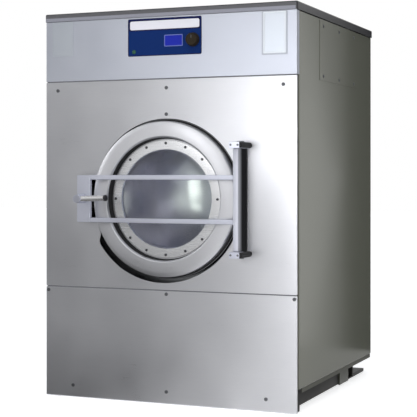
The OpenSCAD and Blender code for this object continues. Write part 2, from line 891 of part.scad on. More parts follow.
module bearing_housing() {
    color("#5B6066") placed() difference() {
        union() {
            y_rod(housing_r, housing_front, housing_end, 0, door_z);
            y_rod(housing_r + 60, bulk_end, bulk_end + 14, 0, door_z);
            for (a = [0:60:300]) translate([0, 0, door_z]) rotate([0, a, 0])
                span([housing_r - 5, bulk_end, -6], [housing_r + 50, housing_end - 20, 6]);
        }
        y_rod(shaft_r + 8, housing_front - 1, housing_end + 1, 0, door_z);
        y_rod(bearing_r, bearing_front, bearing_front + bearing_w, 0, door_z);
        y_rod(bearing_r, bearing_rear, housing_end + 1, 0, door_z);
        y_rod(shaft_r + 15, housing_front - 1, housing_front + seal_len, 0, door_z);
    }
}

module shaft_bearings() {
    color("#B9BCC2") placed() for (y = [bearing_front, bearing_rear]) difference() {
        y_rod(bearing_r, y, y + bearing_w, 0, door_z);
        y_rod(shaft_r + run_gap, y - 1, y + bearing_w + 1, 0, door_z);
    }
}

module shaft_seal() {
    color("#2A2A2C") placed() difference() {
        y_rod(shaft_r + 15, housing_front, housing_front + seal_len, 0, door_z);
        y_rod(shaft_r + run_gap, housing_front - 1, housing_front + seal_len + 1, 0, door_z);
    }
}

module motor_mount() {
    color("#3A3B36") placed() difference() {
        span([-rail_out, motor_end - motor_len + 20, rail_h],
             [rail_out, motor_end - 40, rail_h + mount_t]);
        for (x = [-foot_bolt_x, foot_bolt_x])
            translate([x - motor_x, motor_end - motor_len / 2, rail_h - 1])
                cylinder(r = foot_bolt_r, h = mount_t + 2);
    }
}

module motor() {
    foot_z = rail_h + mount_t;
    motor_front = motor_end - motor_len;
    color("#3F5660") placed() difference() {
        union() {
            y_rod(motor_r, motor_end - motor_len, motor_end, -motor_x, motor_z);
            y_rod(motor_r - motor_step, motor_front - motor_nose, motor_end, -motor_x, motor_z);
            span([-motor_x - motor_foot, motor_front + motor_foot_front, foot_z],
                 [-motor_x + motor_foot, motor_end - motor_foot_rear, motor_z - motor_foot_drop]);
            span([-motor_x - terminal_half, motor_front + terminal_front, motor_z],
                 [-motor_x + terminal_half, motor_front + terminal_front + terminal_len,
                  motor_z + motor_r + motor_step]);
        }
        y_rod(motor_shaft_r + run_gap, motor_end - 60, motor_end + 1, -motor_x, motor_z);
        for (x = [-foot_bolt_x, foot_bolt_x])
            translate([x - motor_x, motor_end - motor_len / 2, foot_z - 1])
                cylinder(r = foot_bolt_r, h = 12);
    }
}

// Outline round both pulleys at a given distance from their rims, in [x, z]
module belt_outline(grow) {
    big = pulley_r + grow;
    small = motor_pulley_r + grow;
    lean = acos((big - small) / belt_span);
    polygon(concat(
        arc(0, 0, big, belt_dir + lean, belt_dir + 360 - lean, 90),
        arc(belt_dx, belt_dz, small, belt_dir - lean, belt_dir + lean, 24)
    ));
}

module drive_belts() {
    color("#18181A") placed() for (i = [0:belt_n - 1])
        translate([0, groove_at(i) + belt_w / 2, door_z]) rotate([90, 0, 0])
            linear_extrude(height = belt_w) difference() {
                belt_outline(1);
                belt_outline(1 - belt_h);
            }
}

// Grooved wheel round its own axis, from y = 0
module grooved_wheel(r) {
    difference() {
        y_rod(r, 0, pulley_w, $fn = 180);
        for (i = [0:belt_n - 1]) {
            y = groove_at(i) - pulley_y;
            difference() {
                y_rod(r + 1, y - belt_w / 2 - belt_clear, y + belt_w / 2 + belt_clear, $fn = 180);
                y_rod(r + 1 - belt_h - belt_clear, y - belt_w, y + belt_w, $fn = 180);
            }
        }
    }
}

module drum_pulley() {
    color("#4B4E52") placed() translate([0, pulley_y, door_z]) {
        difference() {
            grooved_wheel(pulley_r);
            y_rod(pulley_r - 26, -1, 16, $fn = 180);
            y_rod(pulley_r - 26, pulley_w - 16, pulley_w + 1, $fn = 180);
            y_rod(shaft_r + run_gap, -1, pulley_w + 1);
            for (a = [0:60:300]) rotate([0, a, 0]) y_rod(38, 0, pulley_w, 125, 0);
        }
        difference() {
            y_rod(shaft_r + 25, 0, pulley_w);
            y_rod(shaft_r + run_gap, -1, pulley_w + 1);
        }
    }
}

module motor_pulley() {
    color("#4B4E52") placed() translate([-motor_x, 0, motor_z]) {
        y_rod(motor_shaft_r, motor_end - 58, pulley_y + eps);
        translate([0, pulley_y, 0]) grooved_wheel(motor_pulley_r);
    }
}

module drum_shell() {
    drum_in = drum_r - drum_t;
    color("#B9BBBF") placed() turned([
        [mouth_r, drum_y], [drum_r, drum_y], [drum_r, drum_end],
        [shaft_r, drum_end], [shaft_r, drum_end - drum_t], [drum_in, drum_end - drum_t],
        [drum_in, drum_y + drum_t], [mouth_r + 4, drum_y + drum_t],
        [mouth_r + 4, drum_y + 12], [mouth_r, drum_y + 12]
    ]);
}

module drum_lifters() {
    drum_in = drum_r - drum_t;
    color("#B9BBBF") placed() for (i = [0:lifter_n - 1])
        intersection() {
            translate([0, drum_y + drum_t + 8, door_z]) rotate([0, i * 360 / lifter_n, 0])
                translate([0, 0, drum_in - lifter_h]) rotate([-90, 0, 0])
                    linear_extrude(height = drum_len - 2 * drum_t - 16) polygon([
                        [-lifter_w / 4, 0], [lifter_w / 4, 0],
                        [lifter_w / 2, -lifter_h], [-lifter_w / 2, -lifter_h]
                    ]);
            y_rod(drum_in, drum_y, drum_end, 0, door_z, $fn = 180);
        }
}

module drum_shaft() {
    color("#8D9096") placed() {
        y_rod(shaft_r, drum_end - drum_t, pulley_end + 5, 0, door_z);
        y_rod(shaft_r + 10, pulley_y - 5, pulley_y, 0, door_z);
        intersection() {
            union() {
                y_rod(shaft_r + 40, drum_end, drum_end + spider_t, 0, door_z);
                for (i = [0:lifter_n - 1])
                    translate([0, 0, door_z]) rotate([0, i * 360 / lifter_n, 0])
                        span([-spider_w / 2, drum_end, 0],
                             [spider_w / 2, drum_end + spider_t, drum_r]);
            }
            y_rod(drum_r - 6, drum_end, drum_end + spider_t, 0, door_z, $fn = 180);
        }
    }
}

module drain_valve_body() {
    color("#4E7A4A") placed() difference() {
        union() {
            translate([0, sump_at, valve_top - valve_h])
                cylinder(r = drain_r + valve_wall, h = valve_h);
            span([drain_r + valve_wall / 2, sump_at - actuator_half, valve_z - actuator_half],
                 [drain_r + actuator_len, sump_at + actuator_half, valve_z + actuator_half]);
        }
        translate([0, sump_at, valve_top - valve_h - 1]) cylinder(r = drain_r, h = valve_h + 2);
        x_rod(disc_shaft_r + run_gap, -drain_r - shaft_left, drain_r + shaft_right,
              sump_at, valve_z);
    }
}

module drain_valve_disc() {
    color("#C9A94A") placed() {
        y_rod(drain_r - disc_gap, sump_at - disc_t / 2, sump_at + disc_t / 2, 0, valve_z);
        x_rod(disc_shaft_r, 1 - drain_r - shaft_left, drain_r + shaft_right - 1,
              sump_at, valve_z);
    }
}

module drain_pipe() {
    inner = drain_r - drain_t;
    end = cab_d + drain_reach;
    color("#55585C") placed() difference() {
        union() {
            translate([0, sump_at, drain_z])
                cylinder(r = drain_r - 1, h = valve_top - valve_h - drain_z);
            translate([0, sump_at, drain_z]) sphere(r = drain_r - 1);
            y_rod(drain_r - 1, sump_at, end, 0, drain_z);
            y_rod(drain_r, cab_d + 2, end, 0, drain_z);
        }
        translate([0, sump_at, drain_z]) cylinder(r = inner, h = valve_top - drain_z);
        translate([0, sump_at, drain_z]) sphere(r = inner);
        y_rod(inner, sump_at, end + 1, 0, drain_z);
    }
}

module hinge_brackets() {
    color("#C9CBD6") placed() for (s = [-1, 1])
        translate([hinge_x, 0, door_z + s * (post_len + bracket_h + 1) / 2]) difference() {
            span([-bracket_w / 2, -bracket_reach, -bracket_h / 2], [bracket_w / 2, 0, bracket_h / 2]);
            translate([0, -hinge_y, -bracket_h]) cylinder(r = pin_r + run_gap, h = 2 * bracket_h);
        }
}

module hinge_pins() {
    head_z = post_len / 2 + 0.5 + bracket_h;
    color("#8D9096") placed() for (s = [0, 1])
        translate([hinge_x, -hinge_y, door_z]) mirror([0, 0, s]) {
            translate([0, 0, post_len / 2 - pin_in])
                cylinder(r = pin_r, h = head_z - post_len / 2 + pin_in);
            translate([0, 0, head_z]) cylinder(r = pin_r + 4, h = 3);
        }
}

module hinge_post() {
    color("#33343A") placed() translate([hinge_x, -hinge_y, door_z]) difference() {
        cylinder(r = post_r, h = post_len, center = true);
        for (s = [0, 1]) mirror([0, 0, s])
            translate([0, 0, post_len / 2 - pin_in - 1])
                cylinder(r = pin_r + run_gap, h = pin_in + 2);
    }
}

module yoke_bars() {
    color("#C5C7D6") placed() for (s = [-1, 1]) difference() {
        union() {
            translate([0, 0, door_z + s * stud_z])
                span([plate_right, -yoke_reach, -bar_h / 2], [hinge_x, -bar_back, bar_h / 2]);
            for (x = [-stud_x, stud_x])
                y_rod(stud_r, -bar_back - eps, -stud_end, x, door_z + s * stud_z);
        }
        translate([hinge_x, -hinge_y, 0]) cylinder(r = post_r + run_gap, h = cab_h);
    }
}

module yoke_plate() {
    color("#C5C7D6") placed() difference() {
        span([plate_left, -yoke_reach, door_z - yoke_h / 2],
             [plate_right, -bar_back, door_z + yoke_h / 2]);
        y_rod(spindle_r + run_gap, -yoke_reach - 1, -bar_back + 1, -lock_x, door_z);
    }
}

module door_ring() {
    lip_round = 4;
    inner_round = edge_round - ring_t;
    color("#C9CACE") placed() difference() {
        union() {
            turned(concat(
                [[door_r, 0]],
                arc(door_r - edge_round, edge_round - ring_h, edge_round, 0, -90, 8),
                arc(lip_r + lip_round, face_in - ring_h + lip_round, lip_round, -90, -180, 4),
                [[lip_r - 2, 0], [step_r, 0], [step_r, glass_t], [ledge_r, glass_t],
                 [ledge_r, ring_back], [lip_r - 2 + ring_t, ring_back],
                 [lip_r + ring_t, face_in - ring_h + ring_t + 3],
                 [lip_r + ring_t + 4, face_in - ring_h + ring_t]],
                arc(door_r - edge_round, edge_round - ring_h, inner_round, -90, 0, 8),
                [[door_r - ring_t, -ring_t], [door_r - 18, -ring_t], [door_r - 18, 0]]
            ));
            for (s = [-1, 1]) for (x = [-stud_x, stud_x])
                y_rod(stud_r, -stud_end, -ring_h + 2.5, x, door_z + s * stud_z);
        }
        clamp_holes(-1, ring_back + 1, screw_shank + 0.2);
    }
}

module clamp_holes(y0, y1, r) {
    for (i = [0:clamp_n - 1]) translate([0, 0, door_z]) rotate([0, i * 360 / clamp_n, 0])
        y_rod(r, y0, y1, 0, clamp_pcr, $fn = 24);
}

module clamp_ring() {
    color("#D2D3D6") placed() difference() {
        turned([[glass_r, -clamp_t], [clamp_r, -clamp_t], [clamp_r, 0], [glass_r, 0]]);
        clamp_holes(-clamp_t - 1, 1, screw_shank + 0.2);
    }
}

module clamp_screws() {
    color("#6F7176") placed() for (i = [0:clamp_n - 1])
        translate([0, 0, door_z]) rotate([0, i * 360 / clamp_n, 0])
            translate([0, -clamp_t, clamp_pcr])
                screw(clamp_head_r, 2.5, screw_shank, clamp_t + ring_back - 1);
}

module door_glass() {
    bowl_start = 20;
    color("#7C8796") placed() turned(concat(
        [[step_r - 0.5, 0], [step_r - 0.5, glass_t], [bowl_r, glass_t]],
        [for (a = [0:6:90]) [bowl_r * cos(a), bowl_start + (bowl_depth - bowl_start) * sin(a)]],
        [for (a = [90:-6:0])
            [(bowl_r - glass_t) * cos(a), bowl_start + (bowl_depth - glass_t - bowl_start) * sin(a)]],
        [[bowl_r - glass_t, 0]]
    ));
}

module handle() {
    color("#D8D6DC") placed() translate([-lock_x, 0, door_z]) {
        y_rod(hub_r, -hub_reach, -hub_back);
        y_rod(spindle_r, -hub_back - eps, cam_end);
        span([-cam_w / 2, cam_start, -cam_reach], [cam_w / 2, cam_end, 0]);
        rotate([0, -rod_tilt, 0]) x_rod(rod_r, 0, rod_len, -rod_y, 0);
    }
}

module handle_cap() {
    color("#1B1B1D") placed() translate([-lock_x, -rod_y, door_z]) rotate([0, -rod_tilt, 0])
        x_rod(cap_r, rod_len, rod_len + cap_len);
}

module lock_box() {
    color("#2A2B2E") placed() difference() {
        union() {
            span([lock_left, skin_t, door_z - lock_h / 2],
                 [lock_right, cam_end + 14, door_z + lock_h / 2]);
            difference() {
                span([lock_right - eps, receiver_end - receiver_t, door_z - lock_h / 2 + 8],
                     [plate_right - 4, receiver_end, door_z + lock_h / 2 - 8]);
                lock_notch(receiver_end - receiver_t - 1, receiver_end + 1, spindle_r + 3, cam_w + 8);
            }
        }
        x_rod(bolt_r + run_gap, lock_right - bolt_len - bolt_travel, lock_right + 1, bolt_y, bolt_z);
    }
}

module lock_bolt() {
    color("#B9BCC2") placed()
        x_rod(bolt_r, lock_right - bolt_len - 1, lock_right - 1, bolt_y, bolt_z);
}

module encoder_shaft() {
    color("#B9BCC2") placed()
        y_rod(encoder_r, -knob_back - knob_h + 4, board_y - push - 1.5, knob_x, knob_z);
}

module control_knob() {
    color("#2C2A22") placed() translate([knob_x, 0, knob_z]) difference() {
        rotate([-90, 0, 0]) rotate_extrude() polygon([
            [0, -knob_back - knob_h], [knob_r - 4, -knob_back - knob_h],
            [knob_r - 2, 2 - knob_back - knob_h], [knob_r, -knob_back - 1],
            [knob_r, -knob_back], [0, -knob_back]
        ]);
        y_rod(encoder_r + run_gap, -knob_back - knob_h + 3, 0);
    }
}

base_rail_left();
base_rail_right();
base_beams();
rear_foot_plate();
cabinet_sills();
front_posts();
rear_posts();
side_panel_left();
side_panel_right();
access_cover();
top_cover();
control_panel();
door_panel();
service_panel();
rear_panel();
drive_cover();
panel_screws();
control_overlay();
display_window();
control_board();
status_lamp();
label_plates();
equipment_shelf();
inverter_box();
inlet_valves();
fill_pipe();
cable_gland();
tub_shell();
tub_front();
rear_bulkhead();
door_gasket();
bearing_housing();
shaft_bearings();
shaft_seal();
motor();
motor_mount();
drive_belts();
drain_valve_body();
drain_pipe();
hinge_brackets();
hinge_pins();
lock_box();
hinge_post();
yoke_bars();
yoke_plate();
door_ring();
clamp_ring();
clamp_screws();
door_glass();
handle();
handle_cap();
lock_bolt();
drum_shell();
drum_lifters();
drum_shaft();
drum_pulley();
motor_pulley();
encoder_shaft();
control_knob();
drain_valve_disc();
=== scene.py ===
# %% [markdown]
# # A washer-extractor, dressed for its photograph
# The CAD model gives every solid its place. Blender gives each one the look of
# the real thing: folded sheets with soft bends, turned and polished rings,
# rubber, glass and paint. The first cell loads the CAD model and keeps its box,
# because nothing here may grow past it.

# %% Load the frame
import bpy, bmesh
from math import copysign, cos, degrees, pi, radians, sin, sqrt
from mathutils import Matrix, Vector


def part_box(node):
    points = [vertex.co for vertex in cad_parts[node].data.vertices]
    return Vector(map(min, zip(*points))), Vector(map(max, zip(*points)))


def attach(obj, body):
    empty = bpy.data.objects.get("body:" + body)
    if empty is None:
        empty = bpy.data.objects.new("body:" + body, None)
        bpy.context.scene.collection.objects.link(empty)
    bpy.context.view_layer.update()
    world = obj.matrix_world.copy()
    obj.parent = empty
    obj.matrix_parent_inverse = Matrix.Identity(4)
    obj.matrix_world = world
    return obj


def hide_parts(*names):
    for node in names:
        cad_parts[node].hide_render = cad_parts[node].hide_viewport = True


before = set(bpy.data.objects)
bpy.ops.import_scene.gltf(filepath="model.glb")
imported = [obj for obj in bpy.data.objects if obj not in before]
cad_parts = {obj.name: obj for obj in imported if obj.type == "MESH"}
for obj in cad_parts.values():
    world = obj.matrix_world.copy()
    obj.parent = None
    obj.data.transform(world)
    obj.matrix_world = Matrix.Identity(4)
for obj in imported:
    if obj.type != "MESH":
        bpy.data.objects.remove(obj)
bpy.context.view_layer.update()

# %% [markdown]
# The machine is laid out from its front face: x from the middle, y from the
# front panels to the rear, z from the floor, all in millimetres, as a drawing
# would give them. One function turns such a place into Blender's metres, one
# reads how far a CAD node reaches, and one puts an object into the scene.

# %% Places and sizes read from the frame
MM = 0.001
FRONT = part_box("door_panel")[0].y


def at(x, y, z):
    return Vector((x * MM, FRONT + y * MM, z * MM))


def extent(node):
    """Lowest and highest corner of a CAD node in the drawing's millimetres."""
    low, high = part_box(node)
    return [tuple(v / MM for v in (p.x, p.y - FRONT, p.z)) for p in (low, high)]


def linked(name, data):
    made = bpy.data.objects.new(name, data)
    bpy.context.scene.collection.objects.link(made)
    return made


HALF = extent("door_panel")[1][0]
LID_LOW, LID_HIGH = extent("top_cover")[0][2], extent("top_cover")[1][2]
DRUM_Z = sum(extent("door_ring")[i][2] for i in (0, 1)) / 2
print("half width", HALF, "lid", LID_LOW, LID_HIGH, "drum axis", DRUM_Z)

# %% [markdown]
# ## Camera, light and floor
# The camera stands where the photograph's straight edges say it stood: level,
# about 3.7 m in front of the machine and to its right, with a long lens. A
# small downward shift frames the machine without tilting the verticals.

# %% Camera
IMAGE_SIZE = 417
FOCAL_PIXELS = 1222.1
HORIZON_PIXEL = 174.7
SENSOR_WIDTH = 36
CAMERA_PLACE, CAMERA_YAW = (1685.4, -3675.9, 760.2), 0.3954

camera_data = bpy.data.cameras.new("camera")
camera_data.sensor_width = SENSOR_WIDTH
camera_data.lens = SENSOR_WIDTH * FOCAL_PIXELS / IMAGE_SIZE
camera_data.shift_y = (HORIZON_PIXEL - IMAGE_SIZE / 2) / IMAGE_SIZE
camera = linked("camera", camera_data)
camera.location = at(*CAMERA_PLACE)
camera.rotation_euler = (pi / 2, 0, CAMERA_YAW)
bpy.context.scene.camera = camera
bpy.context.scene.view_settings.view_transform = "Standard"
print("lens", round(camera_data.lens, 1), "shift", round(camera_data.shift_y, 4))

# %% [markdown]
# ## Materials: colour and nodes
# A colour picked on a screen is an sRGB value, and the shader wants it linear.
# One function does that. A second one adds a node, sets what it is given and
# links whatever is a socket or a node, which keeps each material short to read.


# %% Colour and node helpers
def linear(code):
    channels = [int(code[i:i + 2], 16) / 255 for i in (1, 3, 5)]
    return tuple(c / 12.92 if c <= 0.04045 else ((c + 0.055) / 1.055) ** 2.4
                 for c in channels) + (1.0,)


def add(tree, kind, inputs=None, **settings):
    new = tree.nodes.new(kind)
    for key, value in settings.items():
        setattr(new, key, value)
    for key, value in (inputs or {}).items():
        socket = new.inputs[key]
        if isinstance(value, bpy.types.Node):
            value = value.outputs[0]
        if isinstance(value, bpy.types.NodeSocket):
            tree.links.new(value, socket)
        else:
            socket.default_value = value
    return new


def feed(shader, socket, node):
    """Lets a node's first output set one of the shader's sockets."""
    shader.id_data.links.new(node.outputs[0], shader.inputs[socket])


def surface(name, **values):
    """A material with one Principled shader whose sockets are set by name."""
    material = bpy.data.materials.new(name)
    material.use_nodes = True
    tree = material.node_tree
    shader = tree.nodes["Principled BSDF"]
    for key, value in values.items():
        shader.inputs[key.replace("_", " ")].default_value = value
    place = add(tree, "ShaderNodeTexCoord").outputs["Object"]
    return material, tree, shader, place


def seen_directly(tree):
    """1 where the camera, a reflection or the glass looks, and 0 for light that falls."""
    path = add(tree, "ShaderNodeLightPath").outputs
    seen = path["Is Camera Ray"]
    for other in ("Is Glossy Ray", "Is Transmission Ray"):
        seen = add(tree, "ShaderNodeMath", {0: seen, 1: path[other]}, operation="MAXIMUM")
    return seen


# %% [markdown]
# The floor is a wide pale plane. The world is a soft grey dome for lighting the
# object, and plain white where the camera, a reflection or the glass looks at
# it, so that the picture has a white background without more light.

# %% World and floor
world = bpy.data.worlds.new("studio")
bpy.context.scene.world = world
world.use_nodes = True
sky = world.node_tree
dome = add(sky, "ShaderNodeBackground", {"Color": linear("#E6E9EE"), "Strength": 0.55})
white = add(sky, "ShaderNodeBackground", {"Color": (1, 1, 1, 1), "Strength": 1.0})
mixed = add(sky, "ShaderNodeMixShader", {0: seen_directly(sky), 1: dome, 2: white})
feed(sky.nodes["World Output"], "Surface", mixed)


def stage_mesh(name, corners, paint):
    """A flat thing of the studio, which isn't part of the machine."""
    mesh = bpy.data.meshes.new(name)
    mesh.from_pydata(corners, [], [tuple(range(len(corners)))])
    mesh.materials.append(paint)
    made = linked(name, mesh)
    return made


FLOOR, FLOOR_GLOW = 20, 0.62
floor_paint, tree, shader, place = surface("matt white floor paint", Base_Color=linear("#F4F4F4"),
                                           Roughness=0.9, Emission_Color=(1, 1, 1, 1))
feed(shader, "Emission Strength",
     add(tree, "ShaderNodeMath", {0: seen_directly(tree), 1: FLOOR_GLOW}, operation="MULTIPLY"))
stage_mesh("floor", [(-FLOOR, -FLOOR, 0), (FLOOR, -FLOOR, 0), (FLOOR, FLOOR, 0), (-FLOOR, FLOOR, 0)],
           floor_paint)

# %% [markdown]
# Three soft boxes light the machine: a wide one over the front, one in front
# of it and one close to its front right corner. Metal has no colour of its own
# to show, only what it mirrors, so white, grey and black cards stand where the
# panels, the round bars and the side look. Only reflections see the cards.
# Some run from one shade to another, which gives the sheets their slow change
# from grey on the left to white on the right.


# %% Soft boxes and cards
def soft_box(name, location, target, size, power, mirrored=True, color=(1, 1, 1), shape="RECTANGLE"):
    data = bpy.data.lights.new(name, "AREA")
    data.shape = shape
    data.size, data.size_y = size
    data.energy = power
    data.color = color
    light = linked(name, data)
    light.location = location
    light.rotation_euler = (Vector(target) - Vector(location)).to_track_quat("-Z", "Y").to_euler()
    light.visible_glossy = mirrored
    light.visible_camera = False
    return light


def card(name, corners, shade, x_from=0, x_to=0, end=None):
    """A flat card that only reflections see; shade is its brightness, 1 is white.

    With an end, the shade runs from x_from to x_to until it has that value."""
    paint = bpy.data.materials.new(name + " paint")
    paint.use_nodes = True
    tree = paint.node_tree
    tree.nodes.remove(tree.nodes["Principled BSDF"])
    glow = add(tree, "ShaderNodeEmission", {"Color": (1, 1, 1, 1), "Strength": shade})
    if end is not None:
        place = add(tree, "ShaderNodeTexCoord").outputs["Object"]
        across = add(tree, "ShaderNodeSeparateXYZ", {"Vector": place}).outputs["X"]
        feed(glow, "Strength", add(tree, "ShaderNodeMapRange", {
            "Value": across, "From Min": x_from, "From Max": x_to, "To Min": shade, "To Max": end}))
    feed(tree.nodes["Material Output"], "Surface", glow)
    made = stage_mesh(name, corners, paint)
    made.visible_camera = made.visible_diffuse = made.visible_shadow = made.visible_transmission = False


def upright(x0, x1, y, z0, z1):
    return [(x0, y, z0), (x1, y, z0), (x1, y, z1), (x0, y, z1)]


def lying(x0, x1, y0, y1, z):
    return [(x0, y0, z), (x1, y0, z), (x1, y1, z), (x0, y1, z)]


def leaning(x0, y0, x1, y1):
    """An upright card from one place on the floor to another."""
    return [(x0, y0, 0.01), (x1, y1, 0.01), (x1, y1, 2.2), (x0, y0, 2.2)]


soft_box("top box", (0, -1.6, 3.6), (0, -0.2, 0.7), (3.0, 2.0), 45, mirrored=False)
soft_box("front box", (-0.6, -4.6, 1.9), (0, -0.4, 0.7), (2.6, 2.4), 60, mirrored=False)
soft_box("right box", (1.4, -1.15, 0.75), (0.45, -0.2, 0.6), (0.5, 1.3), 6.5, mirrored=False)
CARDS_Y, ON_FLOOR = -1.35, 0.004
card("grey card high", upright(-4.0, -0.25, CARDS_Y, 0.75, 1.5), 0.47, -0.6, -0.25, 1.0)
card("pale card high", upright(-4, 0.6, CARDS_Y, 1.5, 2.4), 0.72, -1.0, 0.1, 0.84)
card("grey card low", upright(-4.0, -0.16, CARDS_Y, 0.01, 0.75), 0.3, -0.45, -0.16, 0.5)
card("pale card low", upright(-0.16, 0.3, CARDS_Y, 0.01, 0.75), 0.5, -0.16, 0.13, 0.9)
card("floor card", lying(-5.0, 1.4, CARDS_Y, -0.40, ON_FLOOR), 0.14, -0.3, 0.35, 0.75)
card("black card right", leaning(1.2, -3.6, 3.4, -1.2), 0.02)
card("black card side", leaning(3.4, -1.2, 2.6, 3.0), 0.05)
card("dark card rear", [(0.4, 1.0, 0.01), (0.86, 1.0, 0.01), (0.74, 1.0, 0.75), (0.9, 1.0, 1.5),
                        (0.4, 1.0, 1.5)], 0.32)
card("pale card rear", upright(0.7, 1.8, 1.02, 0.01, 1.6), 0.78)
card("black card rear", upright(0.4, 0.72, 0.98, 0.01, 1.5), 0.0)
card("floor card right", [(-2.23, -6.0, ON_FLOOR), (1.4, -6.0, ON_FLOOR), (1.4, -0.40, ON_FLOOR),
                          (0.24, -0.40, ON_FLOOR)], 0.85)
card("black card above", lying(-2.0, 0.9, -2.6, -0.6, 2.5), 0.1)
card("floor card side", lying(0.46, 2.5, -0.40, 2.5, ON_FLOOR), 0.42)
print("lamps", len(bpy.data.lights), "meshes", len(bpy.data.meshes))

# %% [markdown]
# ## The finishes
# Brushed stainless steel gets its look from fine parallel scratches. They are
# noise drawn out along the brushing: about 0.4 mm apart across it and 60 mm
# long. They change the roughness, the colour and the bump a little, and a
# second, slow noise stands for the waviness and hand marks of thin sheet.


# %% Brushed and polished steels
ALONG_X, ALONG_Y, ALONG_Z = 0, 1, 2
SCRATCH_LENGTH = 0.06


def brushed(name, color, roughness, along=ALONG_X, grain=0.0004, depth=0.00002, waves=0.0, metallic=1.0):
    """A metal with scratches along one axis, grain metres apart across it."""
    material, tree, shader, place = surface(name, Base_Color=linear(color), Roughness=roughness,
                                            Metallic=metallic)
    stretch = [1 / grain] * 3
    stretch[along] = 1 / SCRATCH_LENGTH
    lines = add(tree, "ShaderNodeMapping", {"Vector": place, "Scale": stretch})
    lines = add(tree, "ShaderNodeTexNoise", {"Vector": lines, "Scale": 1.0, "Detail": 3.0})
    marks = add(tree, "ShaderNodeTexNoise", {"Vector": place, "Scale": 5.0, "Detail": 4.0})
    both = add(tree, "ShaderNodeMath", {0: lines, 1: marks}, operation="MULTIPLY")
    feed(shader, "Roughness", add(tree, "ShaderNodeMapRange", {
        "Value": both, "From Min": 0.1, "From Max": 0.45,
        "To Min": roughness * 0.8, "To Max": roughness * 1.25}))
    wear_and_painted_light = add(tree, "ShaderNodeMapRange", {"Value": both, "From Min": 0.15, "From Max": 0.4,
                                            "To Min": 0.0, "To Max": 0.10})
    feed(shader, "Base Color", add(tree, "ShaderNodeMixRGB", {
        "Fac": wear_and_painted_light, "Color1": linear(color), "Color2": linear("#FFFFFF")}))
    bump = add(tree, "ShaderNodeBump", {"Height": lines, "Strength": 0.25, "Distance": depth})
    if waves:
        slow = add(tree, "ShaderNodeTexNoise", {"Vector": place, "Scale": 2.2, "Detail": 1.0})
        bump = add(tree, "ShaderNodeBump", {"Height": slow, "Strength": 1.0,
                                            "Distance": waves, "Normal": bump})
    feed(shader, "Normal", bump)
    return material


front_steel = brushed("brushed stainless sheet", "#CBCCD1", 0.34, waves=0.0006)
control_steel = brushed("brushed stainless control panel", "#BFC3CE", 0.52)
door_steel = brushed("spun stainless door ring", "#D4D5DA", 0.34, grain=0.0006)
clamp_steel = brushed("stainless clamp ring", "#EEEFF2", 0.27, grain=0.0008)
yoke_metal = brushed("clear anodised aluminium", "#CFD2E0", 0.42)
screw_steel = brushed("zinc plated steel", "#8E9094", 0.35, grain=0.0003)
panel_screw_steel = brushed("greyed screw steel", "#77797E", 0.45, grain=0.0003)
dark_screw = brushed("darkened screw steel", "#54565B", 0.4, grain=0.0003)
mill_steel = brushed("mill finish stainless", "#A9ABAF", 0.3, ALONG_Y, grain=0.001)
galvanised = brushed("galvanised sheet", "#B0B2B4", 0.45, ALONG_Z, grain=0.004, metallic=0.85)
polished = brushed("polished chrome", "#F2F2F4", 0.22, grain=0.001, depth=0.000004)
brass = brushed("turned brass", "#C9A94A", 0.3)
label_metal = brushed("silver anodised label plate", "#CACFD5", 0.5)
label_rim = brushed("grey anodised label rim", "#A4A8B2", 0.5)
faint_label = brushed("thin stainless label plate", "#C3C9D2", 0.47)
print("metals", len(bpy.data.materials))

# %% [markdown]
# Sprayed satin paint is smooth but not flat: it has an orange-peel ripple of a
# few millimetres, and its gloss changes slowly over a large panel. Moulded
# plastic and rubber have a finer grain, about half a millimetre.


# %% Paints, plastics and rubber
def coated(name, color, roughness, grain, depth, spread=0.06, second=None, gloss=0.5):
    """Paint, plastic or rubber: a color, drifting to the second one, with a grain in metres."""
    material, tree, shader, place = surface(name, Base_Color=linear(color), Roughness=roughness,
                                            Specular_IOR_Level=gloss)
    fine = add(tree, "ShaderNodeTexNoise", {"Vector": place, "Scale": 1 / grain, "Detail": 3.0})
    slow = add(tree, "ShaderNodeTexNoise", {"Vector": place, "Scale": 3.0, "Detail": 5.0})
    feed(shader, "Roughness", add(tree, "ShaderNodeMapRange", {
        "Value": slow, "From Min": 0.3, "From Max": 0.7,
        "To Min": max(0.02, roughness - spread), "To Max": min(1.0, roughness + spread)}))
    if second:
        feed(shader, "Base Color", add(tree, "ShaderNodeMixRGB", {
            "Fac": slow, "Color1": linear(color), "Color2": linear(second)}))
    feed(shader, "Normal", add(tree, "ShaderNodeBump", {
        "Height": fine, "Strength": 0.4, "Distance": depth}))
    return material


side_paint = coated("satin grey enamel", "#6F7065", 0.17, 0.03, 0.00001, 0.02, "#6B6C61")
lid_paint = coated("satin grey lid enamel", "#57575A", 0.35, 0.004, 0.00003, second="#515154", gloss=0.3)
frame_paint = coated("dark chassis paint", "#22211D", 0.55, 0.002, 0.00004, second="#1C1B18", gloss=0.3)
leg_paint = coated("grey chassis paint", "#55554B", 0.45, 0.002, 0.00004, second="#4C4C43", gloss=0.4)
cast_paint = coated("painted grey casting", "#54585D", 0.55, 0.003, 0.0003, second="#4A4E53")
motor_paint = coated("blue grey motor enamel", "#3F5660", 0.4, 0.002, 0.0001)
valve_paint = coated("green enamelled casting", "#4E7A4A", 0.45, 0.003, 0.0002)
black_rubber = coated("EPDM rubber", "#0C0C0E", 0.7, 0.0006, 0.00006, second="#1B1B1E")
seam_foam = coated("grey sealing foam", "#66676C", 0.8, 0.0008, 0.00005)
# The hinge post's coat is painted reflection, grey to black across the post, set further down.
post_painted_reflection = coated("black powder coat", "#0F0F12", 0.4, 0.001, 0.00001, gloss=0.35)
post_pale_painted_light = coated("pearl grey powder coat", "#CBCCD6", 0.35, 0.001, 0.00001, second="#C5C6D0")
black_plastic = coated("black polyamide", "#1C1C1F", 0.38, 0.0005, 0.00004)
grey_plastic = coated("grey polypropylene", "#565A5F", 0.5, 0.0005, 0.00004)
white_plastic = coated("white polyamide", "#E4E2D8", 0.45, 0.0005, 0.00004)
